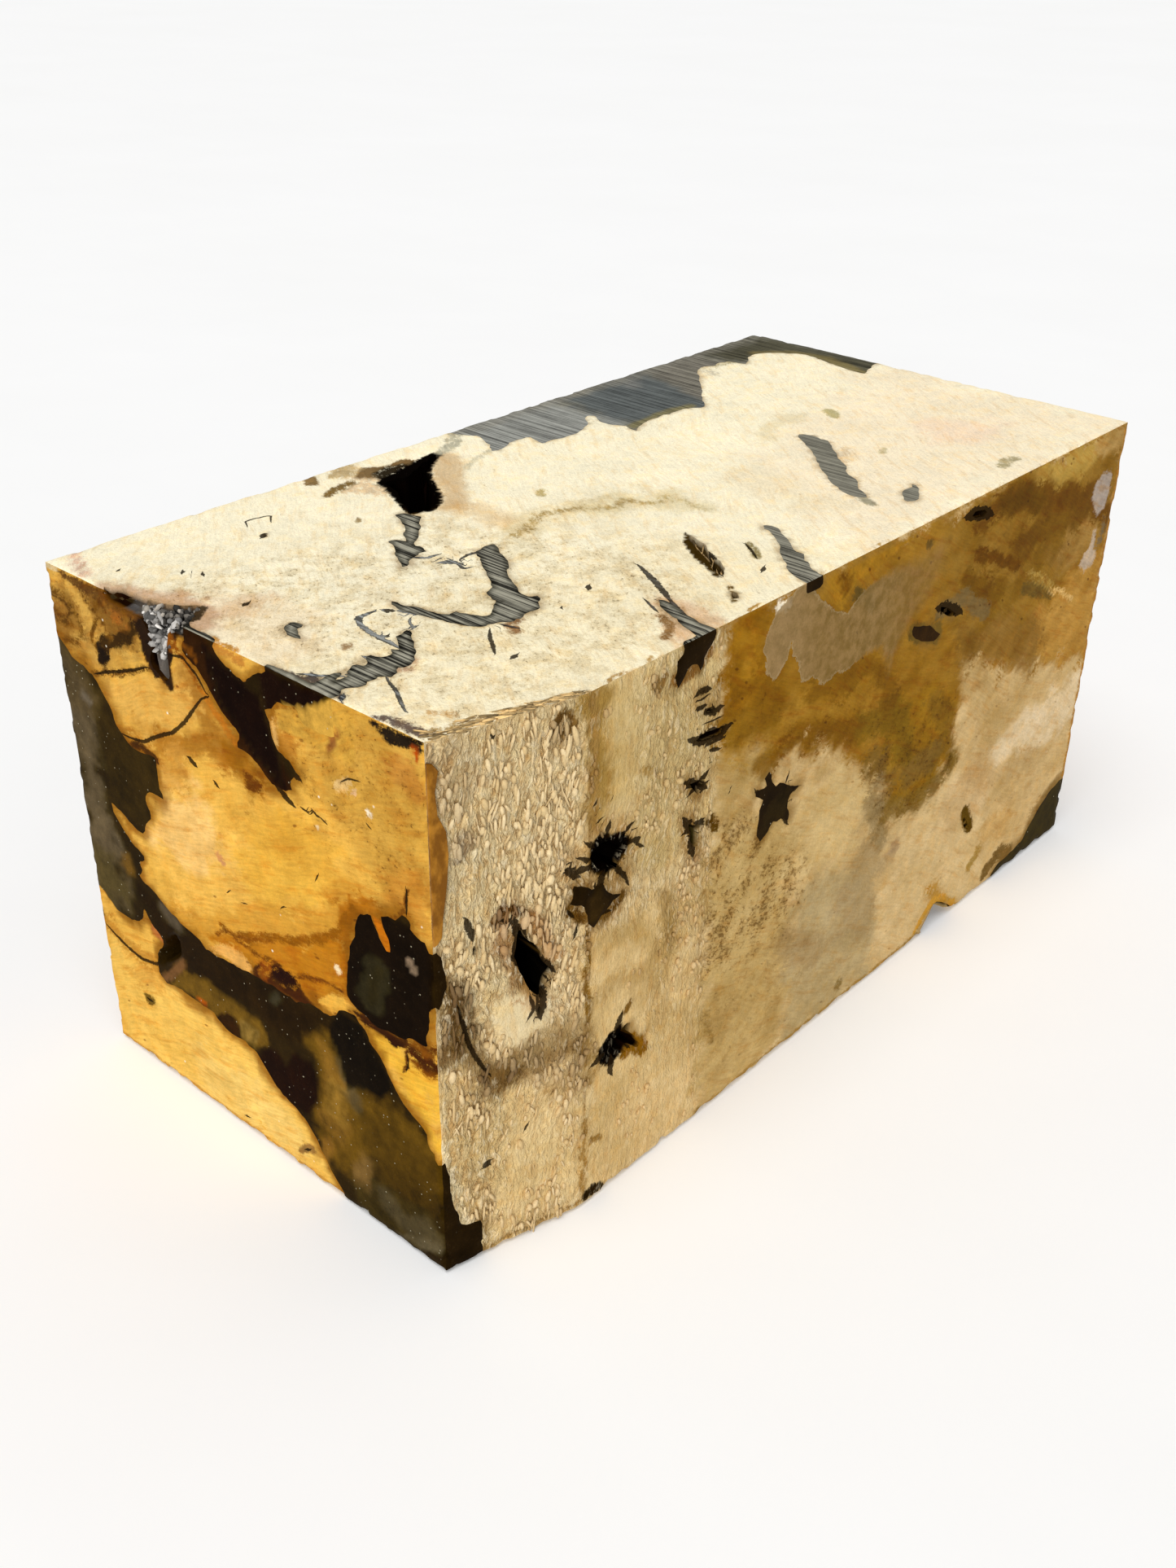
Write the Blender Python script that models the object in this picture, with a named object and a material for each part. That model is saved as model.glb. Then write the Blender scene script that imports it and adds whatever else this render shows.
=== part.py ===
"""Turning blank: a sawn block of pale burl wood whose gaps are filled with cast black resin.

The block is a nominal 6 x 3 x 3 inches. Its length lies along X, its width along Y and its
height along Z, and the origin is under its middle, on the surface that it stands on.
Each outline is drawn on one sawn face, in millimetres, as someone looking straight at that
face would measure it. A fill is the part of the block inside its outlines, down to a depth.
"""

import bmesh
import bpy
from mathutils import Matrix, Vector

MM = 0.001
LENGTH = 152.4
WIDTH = 75.7
HEIGHT = 77.2

# The saw ran out near one corner and left a slanting facet on the front.
FACET_LENGTH = 20.3
FACET_DEPTH = 5.0

# A fill keeps this gap to the wood around it.
FIT_GAP = 0.3
# A cutter starts this far outside the face that it goes into.
OVERSHOOT = 2.0

# Outlines on the top: x from the near end, y from the front.
POUR_TOP = [
    (71.8, 78), (72.3, 75.2), (73.2, 72.2), (74.2, 70.6), (72.6, 67.4), (70.8, 64.3), (73, 64.6),
    (75.5, 65.4), (79.6, 65.2), (78.6, 61.4), (82, 61.2), (88, 61.4), (90.2, 62.8), (92.2, 65),
    (94.4, 66.2), (94.2, 64.2), (92.8, 61.8), (92.7, 59.8), (94, 57.4), (93, 54.7), (95.4, 56.3),
    (99, 57), (104, 56.6), (108, 56.4), (109.6, 54.8), (111.4, 56.2), (114, 58.4), (117, 60.6),
    (120, 63.2), (123, 66), (126, 68.4), (128.4, 69.8), (130, 68.4), (132.6, 69), (134.6, 68),
    (135.2, 65.3), (137.4, 66.4), (141, 68), (144, 66.4), (146.8, 63.2), (147.8, 60), (147, 56.5),
    (146, 53), (145.4, 50), (145, 46.4), (147.5, 47.4), (150, 48.3), (155, 48.8), (155, 78),
]
VEIN_UPPER = [
    (43.2, 54.8), (43.6, 53.4), (44.2, 52.6), (42.6, 51), (40.6, 49), (38.6, 47.3), (37, 46),
    (36, 45.6), (36.2, 44), (35.6, 42.9), (33.4, 42.6), (31.8, 41.6), (30.2, 40.7), (31.6, 42.9),
    (32.6, 44.6), (34.2, 46.4), (34.8, 48.6), (35.8, 48.4), (36.4, 46.9), (37.4, 47.4), (38.6, 49.4),
    (40.4, 51.4), (41.6, 53.4), (42.4, 55.2),
]
VEIN_MAIN = [
    (44, 38.4), (41.8, 38.2), (40.4, 37.4), (39.8, 36), (38.2, 34.2), (37.2, 32.4), (35.8, 30.8),
    (35, 29.2), (33.8, 27.6), (32, 27), (31, 25.4), (31.3, 24), (29.6, 23.4), (27.8, 22.4),
    (26.4, 22.2), (25.6, 24), (25, 26), (24, 25.6), (23, 27), (22.6, 29), (22.4, 31), (21.8, 32),
    (21.9, 33.6), (21, 32.4), (20.8, 31), (21.4, 29.4), (21.8, 27), (22.4, 24.4), (23.4, 22),
    (24.8, 20.4), (26.8, 20.4), (27.8, 19.2), (29.4, 18.7), (30.6, 19.8), (33, 19.5), (34.6, 20.6),
    (35.8, 21.8), (34.4, 22), (34.8, 24.2), (36.2, 26.8), (37.6, 29.4), (39.2, 30.6), (40.6, 32),
    (41.8, 34), (42.8, 36.2),
]
VEIN_NEAR = [
    (-2, 27), (0, 26), (1.2, 23.6), (2.6, 22), (4.2, 22.4), (6, 23.4), (7.4, 23.9), (7.6, 22.2),
    (8.6, 22.9), (10, 24.6), (10.6, 23), (12, 22.8), (13, 23.9), (13.6, 22.6), (14.8, 24.6),
    (16, 26.2), (17.8, 26.4), (18, 25.6), (16.4, 24.8), (15.4, 23), (14.4, 21.6), (12.8, 20.2),
    (11, 19.5), (10.2, 20.2), (9, 19), (7.8, 18.9), (6.8, 19.9), (5, 19.5), (3.4, 20), (2, 20.8),
    (1, 19.8), (0, 19.6), (-2, 19),
]
TRIANGLE = [(9.9, 38.2), (10.2, 36.6), (8.8, 36), (7.4, 33.8), (5.8, 32), (7, 35.6), (8.2, 37.2)]
LENS = [
    (92.6, 11), (92.2, 13.6), (93, 15.8), (94.8, 18.4), (97, 21), (98.8, 23.4), (101.2, 25.8),
    (104.4, 28.8), (107.2, 32), (109, 35), (110.2, 35.6), (110.9, 33.8), (110.2, 32), (110.2, 30.4),
    (107.6, 27.6), (104.6, 24.4), (102.2, 21.6), (99.6, 19.2), (97.6, 16.4), (95, 14.2), (93.8, 12.2),
]
DROP = [(95.9, 6.8), (96.6, 5.7), (98.4, 6.2), (100.4, 7.8), (103, 9.8), (100.4, 9.4), (98, 8.5)]
WEDGE = [
    (61.2, -2), (61.6, 0), (62.6, 2.2), (64, 4.4), (66, 6.2), (67.4, 8), (69.4, 9.2), (71, 11.2),
    (73, 13.6), (74.2, 15.6), (75.2, 16.9), (75, 15), (73.6, 12.6), (72, 10.4), (70.6, 8.8),
    (69.4, 7), (69.4, 5.7), (67.8, 5), (67.2, 3.2), (65.8, 2), (65, 0), (64.8, -2),
]
FORK_TOP = [
    (40.2, -2), (40, 0.4), (40.8, 2.8), (42.2, 5.4), (43.2, 7.8), (44.2, 9.6), (45.6, 11), (45, 8.8),
    (44.2, 6.8), (43.4, 4.8), (45.2, 6.4), (46.8, 8.6), (46, 6.6), (44.6, 4.4), (43.4, 2.2),
    (43.2, 0), (43.2, -2),
]
HOLLOW_TOP = [
    (43, 53.8), (44.6, 53.4), (46.6, 52.8), (48.2, 53.6), (50.2, 54.8), (52, 57), (54, 60.4), (56, 63),
    (58, 65.2), (60.4, 67.2), (63, 68.4), (65.6, 69.9), (62.4, 69.3), (59.4, 68), (57, 66.6),
    (54, 65.9), (51, 66.2), (49.4, 66.2), (48.9, 64.2), (48.2, 61.6), (46.8, 59.8), (45.4, 58),
    (45, 56.2), (44, 54.8),
]
BARK_LONG = [
    (55.2, 8.4), (56.6, 10.6), (58, 12.4), (59.4, 14.4), (60.4, 16.6), (61.6, 18.6), (63.2, 20.6),
    (65.2, 22.4), (64.6, 20.4), (63.8, 18.2), (62.4, 16.4), (60.9, 15), (60.6, 13.2), (59.4, 11.4),
    (58, 9.8), (56.4, 8.4),
]
KNOT_SLIT = [(24.2, 61.6), (24.9, 62.8), (25.8, 63.5), (25.4, 62.4), (24.7, 61.4)]
KNOT_PIT = [(8, 45.8), (9, 46.6), (10, 47), (10.3, 46.4), (9.6, 45.6), (8.8, 45.7)]
BARK_SHORT = [(51, 3.2), (52, 5), (53.4, 5.8), (54.2, 5.4), (53.2, 4.2), (52, 3.2)]
CRUMBLE_TOP = [
    (-2, 66), (0, 65.6), (1.6, 62.6), (2, 58), (2.4, 55), (3.6, 51.6), (5.6, 49.6), (5, 48.2),
    (3, 47.4), (1.4, 45.8), (0, 44.6), (-2, 44),
]

# Outlines on the near end: distance from the back, then height.
POUR_NEAR = [
    (-2, 67.6), (0, 66.6), (2, 65.4), (3.2, 64.1), (5.2, 63.8), (7.4, 63.2), (8.8, 61.8), (10.2, 59.6),
    (11.4, 57.2), (13, 56), (14.6, 55.1), (17, 55), (19.4, 55.3), (19.3, 52.6), (20, 49.9),
    (17.8, 49.9), (16, 49.4), (15.7, 48), (16.4, 45.6), (15.2, 44.2), (13.6, 42), (12, 42.6),
    (9.4, 43.6), (7, 44.1), (7.2, 42.2), (9.2, 40.4), (11, 38.9), (13.4, 37.8), (11.8, 36.4),
    (12.4, 35), (10.4, 33.9), (13.4, 33), (17, 31.3), (20, 30), (24.6, 29.2), (25.2, 28.2),
    (29, 28.5), (36, 29), (40, 29.4), (44.6, 29.2), (47, 30.5), (50, 30.2), (52.4, 31.4), (54, 33),
    (56, 33.3), (58, 32.1), (58.8, 30.6), (60.4, 28.8), (62, 26.6), (63.2, 24.6), (66, 22.8),
    (68, 21.8), (68, -2), (53, -2), (51.6, 0.6), (49.8, 2.4), (48, 4.8), (46.4, 7.2), (44.6, 9.6),
    (42.4, 10.7), (39.8, 11.3), (37.8, 12.4), (36, 14.4), (34.6, 16), (32, 16.4), (29.4, 16.1),
    (27.4, 16.8), (25.6, 17.8), (22, 17.8), (18, 18.2), (14.6, 17.2), (13, 18.6), (13.4, 21.4),
    (15, 23.4), (15.6, 25.4), (13.2, 26.4), (12.4, 28.2), (11.4, 29), (10.9, 26.4), (9.2, 25.3),
    (6.6, 24.8), (4, 25.4), (2, 26.8), (0, 27.6), (-2, 28),
]
POCKET_NEAR = [
    (58.2, 49.4), (60, 50.2), (61, 48.6), (62.2, 46.4), (63.6, 45.8), (63.9, 48), (62.4, 49.9),
    (62.2, 51.4), (65, 51.7), (66.2, 53.2), (67.2, 53), (66.8, 51.5), (69, 51), (69.6, 50.9),
    (69.6, 41), (69, 35.6), (66.4, 35.6), (64.6, 34.6), (62, 34.2), (59.8, 34), (58.2, 34.4),
    (56.6, 34.8), (55.2, 36), (55.4, 38.6), (55.6, 41.2), (56.2, 43.8), (57.2, 46), (57.4, 48),
]
STREAK_NEAR = [
    (27.6, 79), (27.6, 76.4), (26.8, 74.8), (28.6, 73.6), (30.4, 72.6), (31.6, 71), (33.6, 69),
    (35, 67.8), (37, 66.6), (38.4, 65.4), (37.4, 63.4), (39.8, 63.1), (41.4, 62.4), (43, 61.5),
    (45, 60.6), (46.6, 60.3), (48.4, 61), (47.6, 62), (48.4, 63), (49.5, 64.2), (48, 65), (46, 66),
    (45, 67.4), (44.6, 70), (43.8, 71.6), (45.2, 72.4), (47, 73.8), (50, 74.2), (52, 75), (54, 76.2),
    (55.8, 77.4), (56, 79), (45.4, 79), (45.2, 77), (43, 76.2), (41.2, 75), (40.4, 73.6), (39, 74),
    (37, 74.9), (34.4, 76.2), (33.2, 79),
]
RESIN_VOID = [
    (18.2, 27.1), (19.2, 26.6), (19.4, 25), (18.6, 23.6), (17, 22.2), (15, 20.8), (13.6, 20.4),
    (14.4, 22.4), (15.8, 24.2), (16.6, 26),
]
CRUMBLE_NEAR = [
    (20.4, 79), (20.6, 76), (21.8, 74), (22, 72), (20.8, 70.6), (21, 68.8), (23, 68), (24.8, 67.3),
    (25.8, 68.8), (25.8, 71.4), (26, 73), (26.2, 75), (27, 76.6), (27, 79),
]

# Outlines on the front: x from the near end, then height.
STAR = [
    (56.4, 52.1), (57.2, 51.2), (57.9, 49.4), (58.6, 48.7), (60.2, 48.6), (61.4, 47.6), (62.4, 47.2),
    (64, 46.6), (62.4, 45.8), (61.8, 45), (61.9, 43.6), (62.6, 42.2), (62, 41.4), (61.2, 42.9),
    (59.8, 42.6), (58.4, 43.5), (57.2, 42), (55.6, 41.1), (55, 42.8), (55.4, 44.8), (56, 45.2),
    (55.2, 45.8), (55.4, 47), (56.4, 47.8), (55.2, 48.4), (53.6, 49.8), (55, 49.6), (56.6, 48.9),
    (57, 49.6), (56.2, 51),
]
BROKEN_STAR = [
    (18.6, 52.2), (19, 50.8), (18.2, 49.8), (19.8, 49.4), (20.6, 47.8), (21, 45.8), (22, 44.8),
    (23.2, 45.6), (24.6, 46.2), (25.2, 47), (26.6, 47.2), (25.2, 47.9), (24.2, 48.8), (23.2, 50.4),
    (22, 49.9), (20.6, 50.6), (19.6, 51.4),
]
FAR_LENS = [(90.2, 61.4), (92.6, 60.8), (95.6, 59.6), (99.2, 57), (96.4, 57.4), (92.8, 58.6), (90.6, 60)]
FORK_FRONT = [
    (37.4, 79), (37.2, 76.4), (36.4, 75), (36, 73.4), (36.4, 71.8), (37.4, 73.2), (38.6, 74.4),
    (40, 73.8), (41.4, 73.8), (42.4, 74.8), (43.2, 76), (43, 79),
]
POUR_FAR_CORNER = [
    (127.6, -2), (129, 0.8), (131, 1.8), (135, 1.9), (139, 2.8), (141.4, 5), (144, 7.4), (147, 9.2),
    (150, 10), (155, 10.2), (155, -2),
]
KNOT_HOLE = [
    (20, 55.7), (21.6, 55.9), (22.6, 56.5), (24.6, 56.4), (26, 55.6), (26.6, 54.4), (28, 53.9),
    (29.6, 53.3), (28, 53), (26.8, 53.2), (26.9, 52.2), (26, 52.4), (26.4, 50.8), (27.6, 48.9),
    (26, 50.6), (25, 51.7), (23.4, 51.8), (22.4, 52.4), (21.6, 53.6), (21, 54.9),
]
SLIT_HIGH = [(39.9, 69.5), (41.4, 69.9), (43.2, 69.4), (41.6, 68.9)]
SLIT_UPPER = [(42, 66.3), (43.4, 66.5), (45.4, 65.9), (43.8, 65.3), (42.8, 65.5)]
SLIT_LONG = [
    (39.5, 63), (41, 63.3), (44, 63), (46, 62.9), (48, 62.5), (46.5, 61.8), (45, 61.5), (42, 61.8),
    (40.5, 62.4),
]
SLIT_BIRD = [
    (39, 57.3), (40.6, 57.1), (42.2, 56.8), (44, 57.2), (42.9, 56.3), (43.3, 55.3), (42.1, 55.4),
    (41.8, 53.9), (41.2, 54.8), (40.5, 55.9), (39.5, 56.7),
]
SLIT_LOW = [
    (39, 52.3), (40.5, 51.3), (41.6, 50.5), (43.3, 50), (42.1, 49.4), (42.2, 48), (42.4, 46.6),
    (41.5, 46.2), (40.9, 47.6), (40, 49), (40, 50.4),
]
LOW_HOLE = [
    (25, 23.8), (26, 25.3), (27.3, 26), (28.5, 26.7), (29.8, 26.5), (29.4, 24.5), (30.6, 23),
    (31.8, 21), (33, 19.5), (31, 20.6), (29.6, 21.6), (28.5, 20.2), (27.7, 21.6), (26.9, 22.6),
    (25.9, 22.9),
]
FAR_HOLE = [(96.6, 62.6), (98.8, 62), (101, 61), (103.4, 59), (101.6, 59.2), (99.6, 60.2), (97.6, 61.4)]
HIGH_HOLE = [(101.6, 75.2), (104.6, 75.5), (107.6, 74.6), (110, 73), (107, 73.2), (104, 73.8)]
LEAN_HOLE = [(113.9, 19.6), (115.2, 19), (116.8, 17), (117.9, 15), (116.6, 14.9), (115.2, 16.4)]
EDGE_CHIP = [
    (102.6, -2), (104, 0.2), (105.6, 1.6), (107, 3.6), (108.4, 4.7), (110, 4.6), (112, 3.5),
    (114.4, 1.7), (116.6, 0.1), (118, -2),
]

# Outlines on the facet: distance from the near corner, then height.
FACET_HOLE = [
    (11.6, 50.6), (12, 49.2), (13, 47), (14.2, 45.8), (15, 44.2), (15.6, 42), (17.2, 41), (15.8, 40.2),
    (15.4, 37.6), (14.8, 36), (14.2, 33.6), (13.9, 35), (14.5, 37), (13.4, 38.4), (12.4, 40),
    (11.6, 42.4), (11, 44.2), (10.5, 46), (10.9, 48.4),
]
POUR_NEAR_CORNER = [
    (-8, 20.6), (0, 20.6), (0.8, 15.4), (1.4, 10.4), (2.3, 7), (2.8, 5), (3.8, 4.4), (3.6, -2), (-8, -2),
]
WAX_BEAD = [
    (-4, 74.8), (0.6, 74.4), (1.5, 73.4), (1, 71), (1.2, 68), (2.2, 65.6), (2.4, 62.6), (2.1, 59),
    (1.5, 55), (1.2, 52), (0.6, 51.2), (-4, 51.2),
]
FACET_SLIT = [(5.3, 49.2), (5.8, 49.4), (6, 47.8), (6, 46.4), (5.5, 46.6), (5.2, 47.8)]
POCKET_FACET = [(-8, 50.8), (0, 50.8), (1.2, 49), (1.8, 46.4), (1.4, 44), (0, 41), (-8, 41)]

# Outlines on the faces that are out of sight in front: back, far end and underside.
POUR_BACK = [
    (12, 66), (16, 67.4), (20, 64.6), (24, 66.2), (29, 63.8), (33, 66.6), (38, 65.2), (44, 68),
    (48, 66.4), (54, 69.2), (60, 67.8), (66, 70.6), (74, 71), (150, 71), (150, 15.6), (143, 14.4),
    (137, 18), (131, 15.4), (126, 13), (121, 16.2), (115, 14.2), (109, 19.6), (104, 18), (98, 23.4),
    (92, 21.8), (86, 26.4), (79, 24.6), (73, 27.2), (66, 22.4), (60, 24.2), (53, 20.8), (47, 25.6),
    (41, 24), (35, 29.8), (29, 27.4), (23, 30.6), (17, 27.6), (12, 28),
]
POUR_FAR = [
    (3, -2), (3, 11), (6, 14.6), (9, 15.4), (13, 18.6), (18, 19.4), (23, 22.6), (29, 23.4), (34, 26),
    (38, 26.8), (42, 31.4), (42.8, 36), (46.4, 40.6), (46, 46.8), (49, 52), (48.6, 58), (50.2, 62),
    (49.4, 70), (78, 70), (78, 14.4), (71, 15.8), (66, 13.4), (60, 17), (54, 16), (49, 19.6),
    (43, 17.4), (38, 19), (33, 14.8), (28, 13.6), (24, 9), (19, 7.2), (16, 3), (14.6, -2),
]
POUR_UNDER_NEAR = [
    (-2, 24), (0, 23.9), (4, 24.6), (9, 24.2), (13, 25.4), (17, 22.6), (19.4, 17.6), (17.6, 12.4),
    (18.6, 8.6), (13, 7), (8, 5.6), (3.6, 4.2), (0, 4), (-2, 4),
]
POUR_UNDER_FAR = [
    (155, 17), (150, 17.4), (146, 19.4), (141, 17), (136.6, 18.4), (134, 13), (131, 9.6), (131.6, 5),
    (134, 3), (155, 3),
]


# Each face: a point on it, its two drawing directions, and the way into the block.
FACES = {
    "top": ((0, 0, HEIGHT), (1, 0, 0), (0, 1, 0), (0, 0, -1)),
    "near": ((0, WIDTH, 0), (0, -1, 0), (0, 0, 1), (1, 0, 0)),
    "front": ((0, 0, 0), (1, 0, 0), (0, 0, 1), (0, 1, 0)),
    "facet": ((0, FACET_DEPTH, 0), (FACET_LENGTH, -FACET_DEPTH, 0), (0, 0, 1),
              (FACET_DEPTH, FACET_LENGTH, 0)),
    "back": ((0, WIDTH, 0), (1, 0, 0), (0, 0, 1), (0, -1, 0)),
    "far": ((LENGTH, 0, 0), (0, 1, 0), (0, 0, 1), (-1, 0, 0)),
    "under": ((0, 0, 0), (1, 0, 0), (0, 1, 0), (0, 0, 1)),
}

# Each fill: its colour, and for each outline the face, the depth and how far it narrows inwards.
FILLS = {
    "resin_pour": ("black", [
        ("near", POUR_NEAR, 16, 1.0), ("back", POUR_BACK, 14, 1.0), ("top", POUR_TOP, 19, 1.0),
        ("far", POUR_FAR, 12, 1.0), ("front", POUR_FAR_CORNER, 15, 1.0),
        ("under", POUR_UNDER_NEAR, 6, 1.0), ("under", POUR_UNDER_FAR, 7, 1.0),
        ("facet", POUR_NEAR_CORNER, 10, 1.0),
    ]),
    "resin_pocket": ("black", [("near", POCKET_NEAR, 13, 0.9), ("facet", POCKET_FACET, 6, 0.9)]),
    "resin_near_vein": ("black", [("near", STREAK_NEAR, 5, 0.7), ("top", VEIN_NEAR, 5, 0.9)]),
    "resin_main_vein": ("grey", [("top", VEIN_MAIN, 8, 0.9)]),
    "resin_upper_vein": ("grey", [("top", VEIN_UPPER, 7, 0.9)]),
    "resin_triangle": ("grey", [("top", TRIANGLE, 4, 0.9)]),
    "resin_lens": ("grey", [("top", LENS, 9, 0.85)]),
    "resin_drop": ("grey", [("top", DROP, 5, 0.85)]),
    "resin_wedge": ("grey", [("top", WEDGE, 2.4, 0.9)]),
    "resin_fork": ("grey", [("top", FORK_TOP, 4.5, 0.9), ("front", FORK_FRONT, 3.5, 0.9)]),
    "resin_star": ("black", [("front", STAR, 7, 0.85)]),
    "resin_broken_star": ("black", [("front", BROKEN_STAR, 5, 0.85)]),
    "resin_far_lens": ("black", [("front", FAR_LENS, 5, 0.85)]),
    "wax_bead": ("amber", [("facet", WAX_BEAD, 0.6, 1.0)]),
}
# A bubble that stayed open in the pour: the face, the outline, its depth and its narrowing.
BUBBLE = ("near", RESIN_VOID, 5, 0.5)

# Openings that nothing fills.
HOLLOWS = [
    ("top", HOLLOW_TOP, 15, 0.6), ("top", BARK_LONG, 5, 0.6), ("top", BARK_SHORT, 2, 0.6),
    ("top", CRUMBLE_TOP, 1.6, 0.8), ("near", CRUMBLE_NEAR, 1.4, 0.8), ("front", KNOT_HOLE, 9, 0.5),
    ("front", SLIT_HIGH, 2, 0.6), ("front", SLIT_UPPER, 2.5, 0.6), ("front", SLIT_LONG, 5, 0.6),
    ("front", SLIT_BIRD, 4, 0.6), ("front", SLIT_LOW, 4, 0.6), ("front", LOW_HOLE, 6, 0.5),
    ("front", FAR_HOLE, 5, 0.6), ("front", HIGH_HOLE, 2, 0.6), ("front", LEAN_HOLE, 2, 0.6),
    ("front", EDGE_CHIP, 4, 0.7), ("facet", FACET_HOLE, 9, 0.5), ("facet", FACET_SLIT, 1.5, 0.7),
    ("top", KNOT_SLIT, 2, 0.6), ("top", KNOT_PIT, 2, 0.6),
]

COLOURS = {
    "wood": ((0.78, 0.62, 0.36, 1.0), 0.6),
    "black": ((0.02, 0.018, 0.014, 1.0), 0.2),
    "grey": ((0.12, 0.13, 0.14, 1.0), 0.55),
    "amber": ((0.55, 0.27, 0.05, 1.0), 0.25),
}


def clear_scene():
    for obj in list(bpy.data.objects):
        bpy.data.objects.remove(obj, do_unlink=True)


def make_material(name):
    colour, roughness = COLOURS[name]
    material = bpy.data.materials.new(name)
    material.use_nodes = True
    shader = material.node_tree.nodes["Principled BSDF"]
    shader.inputs["Base Color"].default_value = colour
    shader.inputs["Roughness"].default_value = roughness
    shader.inputs["Metallic"].default_value = 0.0
    return material


def in_block_frame(x, y, z):
    """A place measured from the near front corner, given from the middle of the base."""
    return Vector((x - LENGTH / 2, y - WIDTH / 2, z))


def grow(outline, amount):
    """Move every edge of a closed outline outwards by the same amount."""
    points = [Vector(p) for p in outline]
    count = len(points)
    area = sum(points[i - 1].cross(points[i]) for i in range(count))
    side = 1 if area > 0 else -1
    grown = []
    for i, point in enumerate(points):
        before = (point - points[i - 1]).normalized()
        after = (points[(i + 1) % count] - point).normalized()
        out_before = Vector((before.y, -before.x)) * side
        out_after = Vector((after.y, -after.x)) * side
        middle = out_before + out_after
        reach = 2 * amount / max(middle.length_squared, 0.35)
        grown.append(point + middle * reach)
    return grown


def make_prism(name, face, outline, depth, narrowing, collection):
    """A solid with the outline on the face, reaching from just outside it down to a depth."""
    corner, across, up, inward = [Vector(v) for v in FACES[face]]
    across.normalize()
    inward.normalize()
    curve = bpy.data.curves.new(name, "CURVE")
    curve.dimensions = "2D"
    curve.fill_mode = "BOTH"
    curve.extrude = (depth + OVERSHOOT) / 2 * MM
    spline = curve.splines.new("POLY")
    spline.points.add(len(outline) - 1)
    for point, (u, v) in zip(spline.points, outline):
        point.co = (u * MM, v * MM, 0, 1)
    spline.use_cyclic_u = True
    outward = across.cross(up)
    middle = corner + inward * (depth - OVERSHOOT) / 2
    place = Matrix.Identity(4)
    place.col[0][:3] = across
    place.col[1][:3] = up
    place.col[2][:3] = outward
    place.col[3][:3] = in_block_frame(*middle) * MM
    drawn = bpy.data.objects.new(name + "_outline", curve)
    collection.objects.link(drawn)
    drawn.matrix_world = place
    bpy.context.view_layer.update()
    mesh = bpy.data.meshes.new_from_object(drawn.evaluated_get(bpy.context.evaluated_depsgraph_get()))
    narrow(mesh, outward.dot(inward), narrowing)
    solid = bpy.data.objects.new(name, mesh)
    solid.matrix_world = place
    collection.objects.link(solid)
    bpy.data.objects.remove(drawn, do_unlink=True)
    return solid


def narrow(mesh, inner_side, narrowing):
    """Weld the end caps, and shrink the inner end about its middle."""
    form = bmesh.new()
    form.from_mesh(mesh)
    bmesh.ops.remove_doubles(form, verts=form.verts, dist=0.00001)
    inner = [v for v in form.verts if v.co.z * inner_side > 0]
    centre = sum((v.co.xy for v in inner), Vector((0, 0))) / len(inner)
    for vert in inner:
        vert.co.xy = centre + (vert.co.xy - centre) * narrowing
    bmesh.ops.recalc_face_normals(form, faces=form.faces)
    form.to_mesh(mesh)
    form.free()


def make_block(name, collection):
    """The sawn blank before its gaps, with the slanting facet at its near front corner."""
    ground = [
        (0, FACET_DEPTH), (FACET_LENGTH, 0), (LENGTH, 0), (LENGTH, WIDTH), (0, WIDTH),
    ]
    block = make_prism(name, "under", ground, HEIGHT, 1.0, collection)
    for vert in block.data.vertices:
        if vert.co.z < 0:
            vert.co.z += OVERSHOOT * MM
    return block


def cut(obj, other, operation):
    """Cut, join or keep the common part of obj and another object or collection."""
    modifier = obj.modifiers.new(operation.title(), "BOOLEAN")
    modifier.operation = operation
    modifier.solver = "EXACT"
    if isinstance(other, bpy.types.Collection):
        modifier.operand_type = "COLLECTION"
        modifier.collection = other
    else:
        modifier.object = other


def hide_cutters(collection):
    for cutter in collection.objects:
        cutter.hide_render = True
        cutter.display_type = "WIRE"


def new_collection(name):
    collection = bpy.data.collections.new(name)
    bpy.context.scene.collection.children.link(collection)
    return collection


def make_fill(name, colour, outlines, parts, pockets):
    """A piece of resin, and the slightly larger pocket that it sits in."""
    added = new_collection(name + "_forms")
    fill = None
    for number, (face, outline, depth, narrowing) in enumerate(outlines):
        if fill is None:
            fill = make_prism(name, face, outline, depth, narrowing, parts)
        else:
            make_prism(name + "_form_%d" % number, face, outline, depth, narrowing, added)
        pocket = grow(outline, FIT_GAP)
        make_prism(name + "_pocket_%d" % number, face, pocket, depth + FIT_GAP, narrowing, pockets)
    for form in added.objects:
        cut(fill, form, "UNION")
    hide_cutters(added)
    cutters = new_collection(name + "_limits")
    cut(fill, make_block(name + "_limit", cutters), "INTERSECT")
    hide_cutters(cutters)
    fill.data.materials.append(colour)
    return fill


def main():
    clear_scene()
    materials = {name: make_material(name) for name in COLOURS}
    parts = new_collection("turning_blank")
    pockets = new_collection("pockets")
    for name, (colour, outlines) in FILLS.items():
        make_fill(name, materials[colour], outlines, parts, pockets)
    bubbles = new_collection("bubbles")
    cut(parts.objects["resin_pour"], make_prism("bubble", *BUBBLE, bubbles), "DIFFERENCE")
    hide_cutters(bubbles)
    for number, (face, outline, depth, narrowing) in enumerate(HOLLOWS):
        make_prism("hollow_%d" % number, face, outline, depth, narrowing, pockets)
    hide_cutters(pockets)
    wood = make_block("burl_wood", parts)
    cut(wood, pockets, "DIFFERENCE")
    wood.data.materials.append(materials["wood"])


main()
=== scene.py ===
import math

import bpy
import numpy as np
from mathutils import Matrix, Vector
from mathutils.bvhtree import BVHTree


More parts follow.
